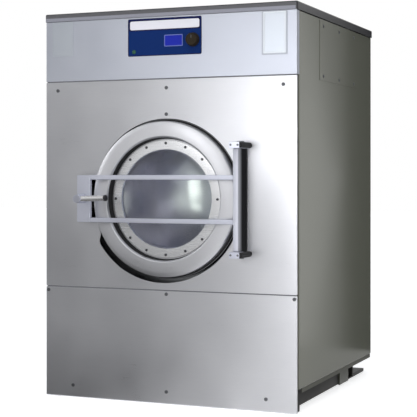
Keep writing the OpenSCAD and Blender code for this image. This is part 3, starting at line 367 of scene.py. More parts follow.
knob_plastic = coated("dark olive phenolic", "#1D1C14", 0.35, 0.0005, 0.00003, second="#2A2014", gloss=0.15)
board_resin = coated("green circuit board resin", "#2E6B45", 0.4, 0.001, 0.00004)
# Painted shade: the drum's drain holes are drawn as dark dimples.
hole_shade = coated("dark drain hole edge", "#17181A", 0.5, 0.002, 0.00002)
print("materials", len(bpy.data.materials))

# %% [markdown]
# The lid's hem catches the light, its right side lies in shade and its top edge
# is darker still. Three bands of another colour, set by height and by x, say so.


# %% Bands on the lid
def banded(material, color, low, high, left, right):
    """Gives a coated surface another colour between two heights and two x values."""
    tree = material.node_tree
    shader = tree.nodes["Principled BSDF"]
    place = add(tree, "ShaderNodeTexCoord").outputs["Object"]
    place = add(tree, "ShaderNodeSeparateXYZ", {"Vector": place}).outputs
    inside = 1.0
    for axis, edge, side in (("X", left, "GREATER_THAN"), ("X", right, "LESS_THAN"),
                             ("Z", low, "GREATER_THAN"), ("Z", high, "LESS_THAN")):
        test = add(tree, "ShaderNodeMath", {0: place[axis], 1: edge * MM}, operation=side)
        inside = add(tree, "ShaderNodeMath", {0: inside, 1: test}, operation="MULTIPLY")
    before = shader.inputs["Base Color"].links[0].from_socket
    feed(shader, "Base Color", add(tree, "ShaderNodeMixRGB", {
        "Fac": inside, "Color1": before, "Color2": linear(color)}))


banded(lid_paint, "#82838C", LID_LOW, LID_LOW + 12, -2 * HALF, HALF - 4)
banded(lid_paint, "#3C3C3E", LID_LOW - 1, LID_HIGH + 1, HALF - 2, 2 * HALF)
banded(lid_paint, "#343436", LID_HIGH - 3.5, LID_HIGH + 1, -2 * HALF, 2 * HALF)
print("lid nodes", len(lid_paint.node_tree.nodes))

# %% [markdown]
# Every CAD node gets a finish first. Nodes whose shape is already right keep
# their CAD mesh. The others are hidden later by the piece that replaces them.
# The table also names material slots that somebody may repaint: it holds
# each material, its slot and its nodes.

# %% Finish and slot of each CAD node
FINISHES = (
    (frame_paint, "frame_paint", "base_rail_left base_rail_right base_beams rear_foot_plate"
                                 " front_posts rear_posts rear_bulkhead motor_mount"),
    (leg_paint, "sill_paint", "cabinet_sills"),
    (side_paint, "side_paint", "side_panel_left side_panel_right access_cover"),
    (lid_paint, "lid_paint", "top_cover"),
    (front_steel, "front_steel", "door_panel service_panel"),
    (control_steel, "control_steel", "control_panel"),
    (galvanised, "rear_steel", "rear_panel drive_cover equipment_shelf"),
    (door_steel, "door_steel", "door_ring"),
    (clamp_steel, "door_steel", "clamp_ring"),
    (yoke_metal, "yoke_metal", "yoke_bars yoke_plate hinge_brackets"),
    (post_pale_painted_light, "post_metal", "hinge_post"),
    (polished, "handle_metal", "handle"),
    (screw_steel, "bright_steel", "panel_screws hinge_pins lock_bolt encoder_shaft shaft_bearings"
                                  " drum_shaft"),
    (dark_screw, "bright_steel", "clamp_screws"),
    (panel_screw_steel, "bright_steel", ""),
    (mill_steel, "tub_steel", "tub_shell tub_front drum_shell drum_lifters"),
    (cast_paint, None, "bearing_housing drum_pulley motor_pulley inverter_box"),
    (motor_paint, None, "motor"),
    (black_rubber, "rubber_black", "door_gasket shaft_seal drive_belts"),
    (black_plastic, "plastic_black", "handle_cap cable_gland lock_box display_window"),
    (knob_plastic, "knob_plastic", "control_knob"),
    (label_metal, "label_metal", "label_plates"),
    (faint_label, "label_metal", ""),
    (board_resin, None, "control_board"),
    (white_plastic, "valve_plastic", "inlet_valves"),
    (grey_plastic, "pipe_plastic", "fill_pipe drain_pipe"),
    (valve_paint, None, "drain_valve_body"),
    (brass, None, "drain_valve_disc"))
for material, _, names in FINISHES:
    for name in names.split():
        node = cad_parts[name]
        node.data.materials.clear()
        node.data.materials.append(material)

# %% [markdown]
# ## Making pieces
# A piece is first a mesh in its final place. It gets its finish, small edge
# rounds and smooth shading, and its modifiers are applied. Then it rides on a
# body and stands for the CAD nodes that it replaces.


# %% Piece helpers
SHARP_AFTER_ROUNDING = 50


def new_object(name, bm):
    mesh = bpy.data.meshes.new(name)
    bm.to_mesh(mesh)
    bm.free()
    return linked(name, mesh)


def applied(source):
    """The object with its modifiers made part of a plain mesh."""
    bpy.context.view_layer.update()
    evaluated = source.evaluated_get(bpy.context.evaluated_depsgraph_get())
    mesh = bpy.data.meshes.new_from_object(evaluated)
    source.modifiers.clear()
    source.data = mesh
    return source


def piece(made, material, replaces=(), body="cabinet", bevel=0.0, angle=35, segments=2, weighted=True):
    """Rounds the edges sharper than the angle, shades smoothly and joins the body."""
    made.data.materials.clear()
    made.data.materials.append(material)
    if bevel:
        rounding = made.modifiers.new("edge rounds", "BEVEL")
        rounding.width = bevel * MM
        rounding.segments = segments
        rounding.limit_method = "ANGLE"
        rounding.angle_limit = radians(angle)
        rounding.use_clamp_overlap = True
        applied(made)
    made.data.shade_smooth()
    made.data.set_sharp_from_angle(angle=radians(SHARP_AFTER_ROUNDING if bevel else angle))
    if weighted:
        normals = made.modifiers.new("face weighted normals", "WEIGHTED_NORMAL")
        normals.keep_sharp = True
        applied(made)
    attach(made, body)
    if replaces:
        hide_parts(*replaces)
    return made


def build(name, shape, *finish, **rounding):
    """A piece straight from its shape."""
    return piece(new_object(name, shape), *finish, **rounding)


# %% [markdown]
# Most shapes here are rows of points joined into a skin. A turned piece joins
# its outline's copies round an axis, a rod joins circles, and a flat piece joins
# its front outline to its back one. One function makes the faces for all.


# %% Shape helpers
def outward(bm):
    bmesh.ops.remove_doubles(bm, verts=bm.verts, dist=1e-6)
    bmesh.ops.recalc_face_normals(bm, faces=bm.faces)
    return bm


def skin(bm, rings, capped=True):
    """Joins rings of vertices that follow each other and closes both ends."""
    for one, two in zip(rings, rings[1:]):
        for k in range(len(one)):
            j = (k + 1) % len(one)
            bm.faces.new((one[k], one[j], two[j], two[k]))
    if capped:
        bm.faces.new(rings[0][::-1])
        bm.faces.new(rings[-1])
    return outward(bm)


def boxes(spans):
    """Closed boxes between pairs of corners in the drawing's millimetres."""
    bm = bmesh.new()
    for low, high in spans:
        a, b = at(*low), at(*high)
        made = bmesh.ops.create_cube(bm, size=1.0)
        bmesh.ops.scale(bm, vec=b - a, verts=made["verts"])
        bmesh.ops.translate(bm, vec=(a + b) / 2, verts=made["verts"])
    bmesh.ops.recalc_face_normals(bm, faces=bm.faces)
    return bm


def around(radius, y, angle, x=0, z=DRUM_Z):
    """A place on a circle round an axis, clockwise from the top; the drum's if none is named."""
    return (x + radius * sin(angle), y, z + radius * cos(angle))


def turns(many):
    return [2 * pi * k / many for k in range(many)]


def turn(outline, axis_x=0, axis_z=DRUM_Z, steps=200, bm=None):
    """Closed outline of (radius, y) turned round an axis that runs from front to rear."""
    bm = bm or bmesh.new()
    rings = [[bm.verts.new(at(*around(r, y, a, axis_x, axis_z))) for r, y in outline] for a in turns(steps)]
    return skin(bm, rings + rings[:1], capped=False)


def arc(cx, cy, r, start, end, steps):
    return [(cx + r * cos(radians(start + (end - start) * i / steps)),
             cy + r * sin(radians(start + (end - start) * i / steps)))
            for i in range(steps + 1)]


def rod(low, high, radius, edge=1.0, steps=48, bm=None):
    """A rod between two points with rounded rims, in millimetres."""
    bm = bm or bmesh.new()
    a, b = at(*low), at(*high)
    along = (b - a).normalized()
    side = along.orthogonal().normalized()
    up = along.cross(side)
    length = (b - a).length / MM
    profile = [(edge - edge * cos(t), radius - edge + edge * sin(t))
               for t in (0, pi / 6, pi / 3, pi / 2)]
    profile += [(length - d, r) for d, r in reversed(profile)]
    return skin(bm, [[bm.verts.new(a + along * d * MM + (side * cos(t) + up * sin(t)) * r * MM)
                      for t in turns(steps)] for d, r in profile])


def along_y(x, z, y0, y1, radius, edge=1.0, steps=48, bm=None):
    return rod((x, y0, z), (x, y1, z), radius, edge, steps, bm)


def slab(outline, y0, y1, bm=None):
    """A flat piece with that outline of (x, z), from y0 to y1."""
    bm = bm or bmesh.new()
    return skin(bm, [[bm.verts.new(at(x, y, z)) for x, z in outline] for y in (y0, y1)])


def cut(target, *cutters):
    """Takes the cutters' shapes out of the target."""
    cutters = [new_object("cutter", cutter) for cutter in cutters]
    for cutter in cutters:
        away = target.modifiers.new("cut", "BOOLEAN")
        away.operation = "DIFFERENCE"
        away.solver = "EXACT"
        away.object = cutter
    applied(target)
    for cutter in cutters:
        bpy.data.objects.remove(cutter)
    return target


# %% [markdown]
# ## Folded sheets
# Every cabinet panel is a steel sheet whose edges are folded to the rear over
# a small radius. The front is a flat rectangle, the fold is a quarter arc
# that runs round it, and Solidify gives the sheet its 1.5 mm. The seam
# between two such panels is two soft folds with a dark gap, not a line.


# %% Folded sheet
def round_rectangle(x0, x1, z0, z1, r, steps=4):
    corners = ((x1 - r, z1 - r, 0), (x0 + r, z1 - r, 90), (x0 + r, z0 + r, 180), (x1 - r, z0 + r, 270))
    return [p for cx, cz, a in corners for p in arc(cx, cz, r, a, a + 90, steps)]


def xz(span):
    """Left, right, bottom and top of an extent, as the front shows them."""
    return span[0][0], span[1][0], span[0][2], span[1][2]


def inset_plate(x0, x1, z0, z1, inset, r, y0, y1, steps=4):
    """A flat piece with round corners, that much inside a rectangle."""
    return slab(round_rectangle(x0 + inset, x1 - inset, z0 + inset, z1 - inset, r, steps), y0, y1)


def folded(name, x0, x1, z0, z1, depth, bend, place=at, thickness=1.5, corner=0.8):
    """A sheet with folded edges; place turns (across, back, up) into a point."""
    bm = bmesh.new()
    levels = [(bend * sin(a), bend - bend * cos(a))
              for a in (pi / 2 * k / 6 for k in range(7))] + [(bend, depth)]
    rings = []
    for grow, back in levels:
        inset = bend - grow
        outline = round_rectangle(x0 + inset, x1 - inset, z0 + inset, z1 - inset, corner + grow)
        rings.append([bm.verts.new(place(x, back, z)) for x, z in outline])
    front = bm.faces.new(rings[0])
    skin(bm, rings, capped=False)
    bm.normal_update()
    if front.normal.dot(place(0, -1, 0) - place(0, 0, 0)) < 0:
        bmesh.ops.reverse_faces(bm, faces=bm.faces)
    made = new_object(name, bm)
    wall = made.modifiers.new("sheet thickness", "SOLIDIFY")
    wall.thickness = thickness * MM
    wall.offset = -1
    wall.use_even_offset = True
    return applied(made)


CONTROL, DOOR, SERVICE = extent("control_panel"), extent("door_panel"), extent("service_panel")
BEND = 1.3
control, service, door_front = (
    folded(name, -HALF, HALF, low[2], high[2], high[1], BEND)
    for name, (low, high) in (("control_front", CONTROL), ("service_front", SERVICE), ("door_front", DOOR)))

# %% [markdown]
# The cut-out behind the door ring is round at the top. At its lower left it
# widens and steps back again, which leaves a black crescent beside the ring.
# Its radius is a table of angles, clockwise from the top. A second hole lets
# the lock through behind the handle, and a third one is for the display.

# %% Openings in the front
HANDLE_X = -280
LOCK_HOLE = ((HANDLE_X - 12, -20, DRUM_Z - 66), (HANDLE_X + 16, 30, DRUM_Z + 66))
DISPLAY_HOLE = ((-4, -20, 1187), (57, 30, 1220))
CUT_OUT = [(0, 266), (30, 265.5), (60, 266), (90, 268), (125, 272), (150, 273), (175, 277), (200, 283),
           (215, 287), (238, 290), (240, 287), (243.5, 271), (246, 269.5), (270, 269), (300, 268),
           (330, 267), (360, 266)]


def cut_out(angle):
    """The cut-out's radius at an angle in degrees."""
    for (a, r), (b, q) in zip(CUT_OUT, CUT_OUT[1:]):
        if a <= angle <= b:
            return r + (q - r) * (angle - a) / (b - a)


rim = [around(cut_out(k * 1.5), 0, radians(k * 1.5)) for k in range(240)]
cut(door_front, slab([(x, z) for x, _, z in rim], -20, 30), boxes([LOCK_HOLE]))
cut(control, boxes([DISPLAY_HOLE]))

piece(control, control_steel, ["control_panel"], bevel=0.25, angle=60)
piece(service, front_steel, ["service_panel"], bevel=0.25, angle=60)
piece(door_front, front_steel, ["door_panel"], bevel=0.3, angle=60)
for made in (control, service, door_front):
    print(made.name, len(made.data.polygons), "faces")

# %% [markdown]
# The side panels are folded the same way, turned to face sideways. The lid is
# the same sheet again, lying down, with a wider fold.

# %% Side panels, lid and access cover
SIDE = extent("side_panel_right")
LID = extent("top_cover")
COVER = extent("access_cover")
SIDE_FOLD = 10


def facing_right(along, back, up):
    return at(SIDE[1][0] - back, along, up)


def facing_left(along, back, up):
    return at(back - SIDE[1][0], along, up)


def facing_up(across, back, along):
    return at(across, along, LID[1][2] - back)


for name, place in (("side_panel_right", facing_right), ("side_panel_left", facing_left)):
    piece(folded("folded_" + name, SIDE[0][1] + 3, SIDE[1][1], SIDE[0][2], SIDE[1][2], SIDE_FOLD, 3.0, place),
          side_paint, [name], bevel=0.3, angle=60)
lid = folded("lid", LID[0][0], LID[1][0], LID[0][1], LID[1][1], LID[1][2] - LID[0][2], 5.0, facing_up)
piece(lid, lid_paint, ["top_cover"], bevel=0.3, angle=60)
build("side_access_cover", boxes([COVER]), side_paint, ["access_cover"], bevel=0.6)
print("lid", len(lid.data.polygons), "faces")

# %% [markdown]
# ## Screws, louvres and holes by Geometry Nodes
# What repeats is made once and set out by a node tree. The tree takes a mesh
# that holds only points, turns a copy of the pattern piece at each one so that
# its +Z follows the point's facing, and makes the copies real.


# %% The tree that sets out copies
def copies_tree():
    tree = bpy.data.node_groups.new("copies on points", "GeometryNodeTree")
    for name, kind in (("Geometry", "Geometry"), ("Pattern", "Object"), ("Finish", "Material"),
                       ("Size", "Float"), ("Turn", "Float")):
        tree.interface.new_socket(name, in_out="INPUT", socket_type="NodeSocket" + kind)
    tree.interface.new_socket("Geometry", in_out="OUTPUT", socket_type="NodeSocketGeometry")
    given = add(tree, "NodeGroupInput").outputs
    facing = add(tree, "GeometryNodeInputNamedAttribute", {"Name": "facing"}, data_type="FLOAT_VECTOR")
    pattern = add(tree, "GeometryNodeObjectInfo", {"Object": given["Pattern"]})
    rotation = add(tree, "FunctionNodeAlignRotationToVector", {"Vector": facing.outputs["Attribute"]},
                   axis="Z")
    spin = add(tree, "FunctionNodeRandomValue", {"Max": given["Turn"], "Seed": 7}, data_type="FLOAT")
    own = add(tree, "ShaderNodeCombineXYZ", {"Z": spin.outputs[1]})
    turned = add(tree, "FunctionNodeRotateRotation",
                 {"Rotation": rotation, "Rotate By": own}, rotation_space="LOCAL")
    copies = add(tree, "GeometryNodeInstanceOnPoints",
                 {"Points": given["Geometry"], "Instance": pattern.outputs["Geometry"],
                  "Rotation": turned, "Scale": given["Size"]})
    real = add(tree, "GeometryNodeRealizeInstances", {"Geometry": copies})
    finish = add(tree, "GeometryNodeSetMaterial", {"Geometry": real, "Material": given["Finish"]})
    tree.links.new(finish.outputs[0], add(tree, "NodeGroupOutput").inputs[0])
    return tree


COPIES = copies_tree()
FULL_TURN = 6.28


def set_out(name, pattern, places, finish, replaces=(), body="cabinet", turn_most=FULL_TURN):
    """Copies of the pattern at each (point, facing), as one plain mesh."""
    mesh = bpy.data.meshes.new(name)
    mesh.from_pydata([at(*p) for p, _ in places], [], [])
    facing = mesh.attributes.new("facing", "FLOAT_VECTOR", "POINT")
    for i, (_, direction) in enumerate(places):
        facing.data[i].vector = direction
    made = linked(name, mesh)
    setter = made.modifiers.new("copies", "NODES")
    setter.node_group = COPIES
    values = {"Pattern": pattern, "Finish": finish, "Size": 1.0, "Turn": turn_most}
    for item in COPIES.interface.items_tree:
        if item.in_out == "INPUT" and item.name in values:
            setter[item.identifier] = values[item.name]
    applied(made)
    piece(made, finish, replaces, body, angle=40, weighted=False)
    print(name, len(places), "copies,", len(made.data.polygons), "faces")


# %% [markdown]
# A machine screw has a low dome with a rounded rim and a hexagon socket that
# goes down into the head. It is one closed outline turned round Z, and its
# socket is pressed in from the innermost ring of vertices.


# %% Screw patterns
def spot(bm, radius, angle, height):
    """A vertex of a pattern piece, which stands on the origin."""
    return bm.verts.new((radius * MM * cos(angle), radius * MM * sin(angle), height * MM))


def screw_pattern(name, head, height, sides=18, dome=0.35):
    """A low domed head with a socket, on the origin, with its seat at z = 0."""
    bm = bmesh.new()
    socket = 0.48 * head
    profile = [(head, 0.0), (head, height * 0.45), (head * 0.97, height * 0.72),
               (head * 0.85, height * (1 - dome * 0.35)), (head * 0.66, height), (socket * 1.06, height)]
    rings = [[spot(bm, r, a, z) for a in turns(sides)] for r, z in profile]
    for depth in (height * 0.97, height * 0.4):
        rings.append([spot(bm, socket * 0.9 / cos((a + pi / 6) % (pi / 3) - pi / 6),
                           a, depth) for a in turns(sides)])
    return new_object(name, skin(bm, rings))


panel_screw = screw_pattern("panel_screw_pattern", 6.0, 3.0)
cover_screw = screw_pattern("cover_screw_pattern", 6.0, 1.5)
bracket_screw = screw_pattern("bracket_screw_pattern", 3.5, 1.5)
clamp_screw = screw_pattern("clamp_screw_pattern", 4.5, 2.5)
print("screw pattern", len(panel_screw.data.polygons), "faces")

# %% [markdown]
# The panels hang on screws near their corners and middles. The clamp ring has
# sixteen, evenly round the glass, and each hinge bracket has two small ones.

# %% Screws in their places
FORWARD, RIGHT, BACKWARD = (0, -1, 0), (1, 0, 0), (0, 1, 0)
SEAM_TOP, SEAM_LOW = CONTROL[0][2] - 1.5, SERVICE[1][2] + 1.5
front_places = [(x, 0, SEAM_TOP - 30) for x in (-409, 0, 409)] + [(0, 0, DRUM_Z + 280.5)]
front_places += [(x, 0, SEAM_LOW - 12) for x in (9 - HALF, 0, HALF - 9)]
front_places += [(x, 0, 42) for x in (-350, 0, 350)]
set_out("front_panel_screws", panel_screw, [(p, FORWARD) for p in front_places], panel_screw_steel,
        ["panel_screws"])
set_out("cover_screws", cover_screw, [((HALF, COVER[0][1] + y, z), RIGHT) for y in (40, 225, 410)
                                      for z in (COVER[0][2] + 15, COVER[1][2] - 22)], dark_screw)

HINGE_X, HINGE_Y = 280, -44
BRACKETS = extent("hinge_brackets")
bracket_places = [(HINGE_X - 5 + 12 * i, BRACKETS[0][1], z) for i in (-1, 1)
                  for z in (BRACKETS[0][2] + 10, BRACKETS[1][2] - 10)]
set_out("bracket_screws", bracket_screw, [(p, FORWARD) for p in bracket_places], panel_screw_steel)
CLAMP_PITCH, CLAMP_SCREWS, CLAMP_FACE = 184.5, 16, -4
clamp_places = [around(CLAMP_PITCH, CLAMP_FACE, a) for a in turns(CLAMP_SCREWS)]
set_out("clamp_ring_screws", clamp_screw, [(p, FORWARD) for p in clamp_places], dark_screw,
        ["clamp_screws"], "door")

# %% [markdown]
# ## The round door
# The door ring is spun from sheet: a small outer shoulder, a face with a slight
# crown and a round inner lip. The clamp ring, the glass bowl and the rubber
# gasket are turned round the same axis, each from its own outline.

# %% Door ring and clamp ring
RING = extent("door_ring")
RING_R, RING_FRONT, RING_BACK = RING[1][0], -28.0, RING[1][1]
LIP_R, SHOULDER, LIP_ROUND, WALL, CROWN = 203.0, 6.0, 6.0, 3.0, 4.5
STEP_R, LEDGE_R, GLASS_T = 178.5, 166.0, 8.0

outline = [(RING_R, 0.0)] + arc(RING_R - SHOULDER, RING_FRONT + SHOULDER, SHOULDER, 0, -78, 10)
face_out, face_in = RING_R - SHOULDER - 2, LIP_R + LIP_ROUND
outline += [(face_out + (face_in - face_out) * k / 10,
             RING_FRONT - CROWN * sin(pi * (0.08 + 0.5 * k / 10))) for k in range(1, 10)]
outline += arc(LIP_R + LIP_ROUND, RING_FRONT - CROWN + LIP_ROUND, LIP_ROUND, -90, -180, 8)
outline += [(LIP_R - 2, -2.0), (LIP_R - 3.5, -0.3), (STEP_R, 0.0), (STEP_R, GLASS_T),
            (LEDGE_R, GLASS_T), (LEDGE_R, RING_BACK), (LIP_R + 1, RING_BACK),
            (LIP_R + 3, RING_FRONT + 8), (LIP_R + 8, RING_FRONT + 3)]
outline += arc(RING_R - SHOULDER, RING_FRONT + SHOULDER, SHOULDER - WALL, -90, 0, 6)
outline += [(RING_R - WALL, -WALL), (RING_R - 18, -WALL), (RING_R - 18, 0.0)]
ring = build("spun_door_ring", turn(outline, steps=240), door_steel, ["door_ring"], "door", angle=32)
# A black rubber lining on the lip's inner wall is painted shade: it darkens the recess between the lip and
# the clamp ring.
build("lip_lining_ring", turn([(LIP_R + 0.2, RING_FRONT + 4), (LIP_R - 1.4, RING_FRONT + 5.5),
                               (LIP_R - 3.4, -2.0), (LIP_R - 4.4, -0.4), (LIP_R - 1.5, -0.3)]),
      black_rubber, body="door", angle=50)
clamp = build("bolted_clamp_ring", turn([(164, -3.4), (164.6, CLAMP_FACE), (194.4, CLAMP_FACE), (195, -3.4),
                                         (195, 0), (164, 0)]), clamp_steel, ["clamp_ring"], "door", angle=60)
print("door ring", len(ring.data.polygons), "faces")

# %% [markdown]
# The bowl is pressed borosilicate glass. Clear glass shows what is behind it
# and bends it at its thick rim. Its faint violet grey comes from the thickness,
# so the colour is a light one. The lights that the photograph shows in the
# glass are three ellipses and an upright oblong. They reach the bowl alone.

# %% Glass bowl and its lamps
BOWL_R, BOWL_START, BOWL_DEPTH = 164.0, 9.0, 74.0


def bowl_at(k, inward):
    """Step k of 24 from the bowl's rim to its middle, that far in front of its back."""
    return BOWL_R * (1 - k / 24), BOWL_START - inward + (BOWL_DEPTH - BOWL_START) * (1 - (1 - k / 24) ** 2)


bowl = [(STEP_R - 0.5, 0.0), (STEP_R - 0.5, GLASS_T - 0.2)] + [bowl_at(k, 0) for k in range(24)]
bowl += [(0.4, BOWL_DEPTH), (0.4, BOWL_DEPTH - GLASS_T)] + [bowl_at(k, GLASS_T) for k in range(23, -1, -1)]
bowl += [(BOWL_R + 4, 0.0)]
door_glass, tree, shader, place = surface("pressed borosilicate glass", Base_Color=linear("#D6D8F2"),
                                          Roughness=0.16, IOR=1.42, Transmission_Weight=1.0,
                                          Coat_Weight=1.0, Coat_Roughness=0.34, Coat_IOR=1.42)
ripple = add(tree, "ShaderNodeTexNoise", {"Vector": place, "Scale": 14.0, "Detail": 1.0})
feed(shader, "Normal", add(tree, "ShaderNodeBump", {"Height": ripple, "Strength": 0.2,
                                                    "Distance": 0.0003}))
glass_bowl = build("pressed_glass_bowl", turn(bowl), door_glass, ["door_glass"], "door", angle=50)


def only_for(light, *pieces):
    """Lets a light reach these pieces alone, with nothing else in its way."""
    chosen = bpy.data.collections.new(light.name + " pieces")
    for made in pieces:
        chosen.objects.link(made)
    light.light_linking.receiver_collection = chosen
    light.light_linking.blocker_collection = chosen
    light.visible_transmission = light.visible_diffuse = False


GLASS_MIDDLE = (0, -0.35, 0.68)
for name, location, size, power, color, shape in (
        ("window light", (-1.55, -0.92, 0.5), (2.0, 1.0), 72, (0.9, 1.0, 0.93), "ELLIPSE"),
        ("front window light", (-1.4, -2.0, 0.72), (1.7, 1.0), 55, (0.9, 1.0, 0.93), "ELLIPSE"),
        ("floor light", (-0.75, -0.9, 0.1), (1.0, 0.7), 5, (0.9, 0.97, 1.0), "ELLIPSE"),
        ("doorway light", (1.5, -1.7, 0.8), (0.5, 1.0), 12, (0.94, 1.0, 0.95), "RECTANGLE")):
    only_for(soft_box(name, location, GLASS_MIDDLE, size, power, color=color, shape=shape), glass_bowl)
print("glass", len(glass_bowl.data.polygons), "faces")

# %% [markdown]
# The gasket is moulded rubber with a sealing lip and two soft ribs. A garter
# band of thin wire holds it on the neck and shows as a fine bright line.

# %% Gasket and its garter band
gasket = [(213, 5), (214, 2.2), (217, 0.5), (222, 0.3), (226, 1.4), (230, 0.3), (240, 0.3), (244, 1.6),
          (248, 0.3), (253, 0.3), (256, 1.6), (258, 2.4), (262.5, 2.4), (264.4, 3.4), (265, 5.5),
          (265, 9.5), (263.5, 11.5), (260, 12), (227.6, 12), (227, 14), (225.5, 25), (224, 26),
          (219, 26), (218, 25), (218, 12), (214.5, 12), (213, 10.5)]
gasket = build("moulded_door_gasket", turn(gasket), black_rubber, ["door_gasket"], angle=75)
build("garter_band", turn(arc(262.9, 2.6, 0.8, 0, 337.5, 15), steps=240), screw_steel,
      angle=80, weighted=False)
print("gasket", len(gasket.data.polygons), "faces")

# %% [markdown]
# ## Yoke, hinge and handle
# The yoke is cast and machined: two bars and a plate with rounded edges, and
# four studs that carry the door ring.

# %% Yoke
YOKE_FRONT, YOKE_BACK, BAR_H = -55.0, -43.0, 15.5
PLATE = extent("yoke_plate")
BARS = extent("yoke_bars")
BAR_ZS = (BARS[0][2] + BAR_H / 2, BARS[1][2] - BAR_H / 2)
STUD_X = sqrt(((RING_R + LIP_R) / 2) ** 2 - ((BAR_ZS[1] - BAR_ZS[0]) / 2) ** 2)
POST = extent("hinge_post")
POST_R = (POST[1][0] - POST[0][0]) / 2

bars = build("yoke_arms", boxes([((PLATE[1][0], YOKE_FRONT, z - BAR_H / 2),
                                  (HINGE_X - POST_R + 2.5, YOKE_BACK, z + BAR_H / 2)) for z in BAR_ZS]),
             yoke_metal, ["yoke_bars"], "door", bevel=1.6, segments=3)
studs = bmesh.new()
for z in BAR_ZS:
    for x in (-STUD_X, STUD_X):
        along_y(x, z, YOKE_BACK - 0.5, RING_FRONT + 2.5, 7.0, 0.5, 40, studs)
studs = build("yoke_studs", studs, yoke_metal, body="door")
plate = build("handle_plate", inset_plate(PLATE[0][0], PLATE[1][0], PLATE[0][2], PLATE[1][2], 0, 3.0,
                                          YOKE_FRONT, YOKE_BACK),
              yoke_metal, ["yoke_plate"], "door", bevel=1.4, segments=3)
print("yoke studs at", round(STUD_X, 1))

# %% [markdown]
# The hinge post is a round bar in a black coat. Its colour is painted
# reflection: grey on the side that faces the light, black on the side in
# shade. A pale shell, a third of a tube, covers its left side, and its pale
# colour is painted light. Two brackets hold the post: a black arm with a round
# nose behind a bright face; the arm's black is painted shade on their right
# sides.

# %% Hinge post and brackets
# Painted reflection: the post's colour runs from grey on its left to black on its right.
tree = post_painted_reflection.node_tree
place = add(tree, "ShaderNodeTexCoord").outputs["Object"]
across = add(tree, "ShaderNodeSeparateXYZ", {"Vector": place}).outputs["X"]
wear_and_painted_light = add(tree, "ShaderNodeMapRange", {"Value": across, "From Min": (HINGE_X + 0.03 * POST_R) * MM,
                                        "From Max": (HINGE_X + 0.52 * POST_R) * MM})
feed(tree.nodes["Principled BSDF"], "Base Color", add(tree, "ShaderNodeMixRGB", {
    "Fac": wear_and_painted_light, "Color1": linear("#94959C"), "Color2": linear("#0D0D10")}))
post = build("hinge_post_core", rod((HINGE_X, HINGE_Y, POST[0][2]), (HINGE_X, HINGE_Y, POST[1][2]),
                                    POST_R - 0.6, 2.0, 96), post_painted_reflection, ["hinge_post"], "door")
post.visible_glossy = False
SHELL_WALL = 2
rounds = [radians(a) for a in range(-120, 1, 4)]
section = [(POST_R * sin(a), POST_R * cos(a)) for a in rounds]
section += [((POST_R - SHELL_WALL) * sin(a), (POST_R - SHELL_WALL) * cos(a)) for a in reversed(rounds)]
shell = bmesh.new()
skin(shell, [[shell.verts.new(at(HINGE_X + x, HINGE_Y - y, z)) for x, y in section]
             for z in (POST[0][2] + 1, POST[1][2] - 1)])
# The shell's pale colour is painted light on the post's left side.
post_shell = build("hinge_post_shell", shell, post_pale_painted_light, body="door", bevel=0.5, angle=50)

painted_shade_arms, faces = bmesh.new(), bmesh.new()
x0, x1, front = BRACKETS[0][0], BRACKETS[1][0], BRACKETS[0][1]
BRACKET_H, BEHIND = 20, 0.6
for z0 in (BRACKETS[0][2], BRACKETS[1][2] - BRACKET_H):
    nose = arc(x1 - 9, z0 + BRACKET_H / 2, 9.5, -80, 80, 12)
    corners = [(x0 + BEHIND, z0 + z) for z in (BEHIND, BRACKET_H - BEHIND)]
    slab(corners[:1] + nose + corners[1:], front + 1.0, 0.0, painted_shade_arms)
    slab(round_rectangle(x0, x1 - 10, z0, z0 + BRACKET_H, 1.5), front, -1.0, faces)
# The arms are black to paint the shade on the brackets' right sides.
build("bracket_arms", painted_shade_arms, black_rubber, ["hinge_brackets"], bevel=0.8)
faces = build("bracket_faces", faces, yoke_metal, bevel=0.8)
print("post radius", POST_R)

# %% [markdown]
# The handle is a turned hub with a polished lever rod and a black cap on its
# end. The cap is a little thicker than the rod and has a round rim. A cam on
# the hub's shaft, behind the front, turns with the lever.

# %% Handle
HUB = extent("handle")
ROD_Y, ROD_TILT, ROD_LEN, CAP_LEN = -92.0, radians(2), 97.0, 8.5
HUB_R, SPINDLE_R, CAM_START, CAM_END, CAM_REACH, CAM_W = 14.0, 8.0, 28, 36, 18, 10


def on_rod(distance):
    return (HANDLE_X + distance * cos(ROD_TILT), ROD_Y, DRUM_Z + distance * sin(ROD_TILT))


hub = bmesh.new()
along_y(HANDLE_X, DRUM_Z, HUB[0][1], YOKE_FRONT - 0.3, HUB_R, 1.5, 64, hub)
along_y(HANDLE_X, DRUM_Z, YOKE_FRONT - 0.5, CAM_END, SPINDLE_R, 0.5, 40, hub)
build("handle_hub", hub, yoke_metal, ["handle"], "door_handle")
cam = boxes([((HANDLE_X - CAM_W / 2, CAM_START, DRUM_Z - CAM_REACH),
              (HANDLE_X + CAM_W / 2, CAM_END, DRUM_Z))])
build("locking_cam", cam, screw_steel, body="door_handle", bevel=0.8)
lever = build("handle_lever", rod(on_rod(4), on_rod(ROD_LEN), 10.0, 0.6, 96), polished, body="door_handle")
build("lever_cap", rod(on_rod(ROD_LEN - 0.5), on_rod(ROD_LEN + CAP_LEN), 10.5, 3.0, 64), black_plastic,
      ["handle_cap"], "door_handle")
print("lever", ROD_LEN + CAP_LEN, "mm long")

# %% [markdown]
# ## The rear
# The rear is closed by two galvanised sheets. The upper one lets the water
# inlets and the mains gland through. The lower one covers the drive, and its
# cooling slots each have a pressed hood that keeps splashes out.

